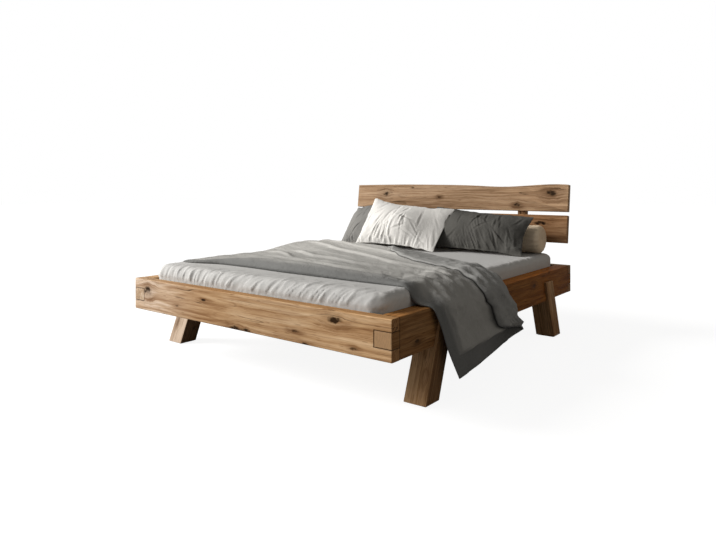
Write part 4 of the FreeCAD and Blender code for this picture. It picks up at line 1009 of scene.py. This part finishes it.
SHEET_TOP = high[2] + 0.0024
PILLOW_CUT = (0.78, 0.42)
grey, white, dark = (
    pillow_shell(f"{name}_pillow_cover", *PILLOW_CUT, seed, fabric(f"{name}_linen", *cloth), f"{name}_linen")
    for name, seed, cloth in (("grey", 3, ((0.215, 0.21, 0.2), 0.1, 0.8)),
                              ("white", 9, ((0.65, 0.636, 0.612), 0.04, 0.6)),
                              ("dark", 15, ((0.09, 0.087, 0.08), 0.1, 0.8))))
fill_pillows([grey, white, dark])
seat_pillow(grey, (0.74, 0.352, 0.13), 0.02, (-0.42, 0.675), (60, -2, -0.5), SHEET_TOP, seed=3,
            ears=((-1, 1, 0.045, -0.04), (1, 1, -0.02, -0.045)))
seat_pillow(white, (0.7, 0.358, 0.145), 0.055, (-0.195, 0.535), (58, -4, -0.5), SHEET_TOP, seed=9,
            bend=0.12, slump=0.7, ears=((-1, 1, 0.016, 0.022), (1, 1, 0.006, 0.036), (1, -1, -0.016, 0.0)))
seat_pillow(dark, (0.735, 0.318, 0.135), 0.08, (0.345, 0.655), (57, -2, -0.5), SHEET_TOP, seed=15,
            bend=0.03, slump=0.15, ears=((1, 1, 0.016, 0.004), (1, -1, 0.012, -0.01)))
for piece, node in ((grey, "grey_pillow"), (white, "white_pillow"), (dark, "dark_pillow")):
    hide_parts(node)
# The roll's linen is lighter than the cloth would be: painted light, standing in for light that the lamps
# don't bring to it.
neck_roll_form(fabric("beige_linen", (0.88, 0.72, 0.53), 0.06, 0.5))

# Stage, light and camera

bpy.ops.mesh.primitive_plane_add(size=60, location=(0, 0, -0.0005))
floor = bpy.context.object
floor.name = "studio_floor"


def seen(g):
    """1 where the camera looks, also by way of gloss or glass, and 0 for other light."""
    path = g.add("LightPath")
    straight = g.most(path.outputs["Is Camera Ray"], path.outputs["Is Glossy Ray"])
    return g.most(straight, path.outputs["Is Transmission Ray"])


WHITE, FLOOR_GREY, DAYLIGHT = (1, 1, 1, 1), (0.22, 0.22, 0.22, 1), (1.0, 0.985, 0.96, 1)
g = Graph(bpy.data.materials.new("studio_floor"))
dull, matte = (g.fill(g.add("BsdfDiffuse"), FLOOR_GREY) for _ in range(2))
pale = g.fill(g.add("AddShader"), g.fill(g.add("Emission"), WHITE, 0.9), matte)
floor.data.materials.append(g.output("OutputMaterial", g.fill(g.add("MixShader"), seen(g), dull, pale)))

g = Graph(bpy.data.worlds.new("studio"))
ambient, backdrop = (g.fill(g.add("Background"), *light) for light in ((DAYLIGHT, 0.15), (WHITE, 1.0)))
scene.world = g.output("OutputWorld", g.fill(g.add("MixShader"), seen(g), ambient, backdrop))

BED_MIDDLE = Vector((-0.1, -0.3, 0.4))


def lamp(name, kind, towards, power, colour, **settings):
    """A lamp in the given direction that shines at the bed."""
    data = bpy.data.lights.new(name, kind)
    data.energy = power
    data.color = colour
    for key, value in settings.items():
        setattr(data, key, value)
    obj = bpy.data.objects.new(name, data)
    scene.collection.objects.link(obj)
    obj.location = towards
    obj.rotation_euler = (BED_MIDDLE - Vector(towards)).to_track_quat("-Z", "Y").to_euler()


lamp("day", "SUN", (-7.9, -3.8, 5.2), 2.8, (1.0, 0.985, 0.96), angle=math.radians(24))
lamp("window", "AREA", (-3.2, -2.3, 1.75), 140, (1.0, 0.98, 0.95), shape="DISK", size=1.6)
lamp("front_fill", "SUN", (-5.5, -8.3, 2.9), 0.5, (1.0, 0.99, 0.975), angle=math.radians(40))
lamp("side_fill", "SUN", (8.0, 1.0, 4.0), 0.26, (1.0, 0.9, 0.76), angle=math.radians(60))

data = bpy.data.cameras.new("camera")
camera = bpy.data.objects.new("camera", data)
scene.collection.objects.link(camera)
data.sensor_width = 36.0
data.lens = 30.52
data.shift_x, data.shift_y = 0.0107, -0.1168
camera.location = (2.2467, -3.0501, 0.943)
camera.rotation_euler = (math.pi / 2, 0.0, 0.666)
scene.camera = camera
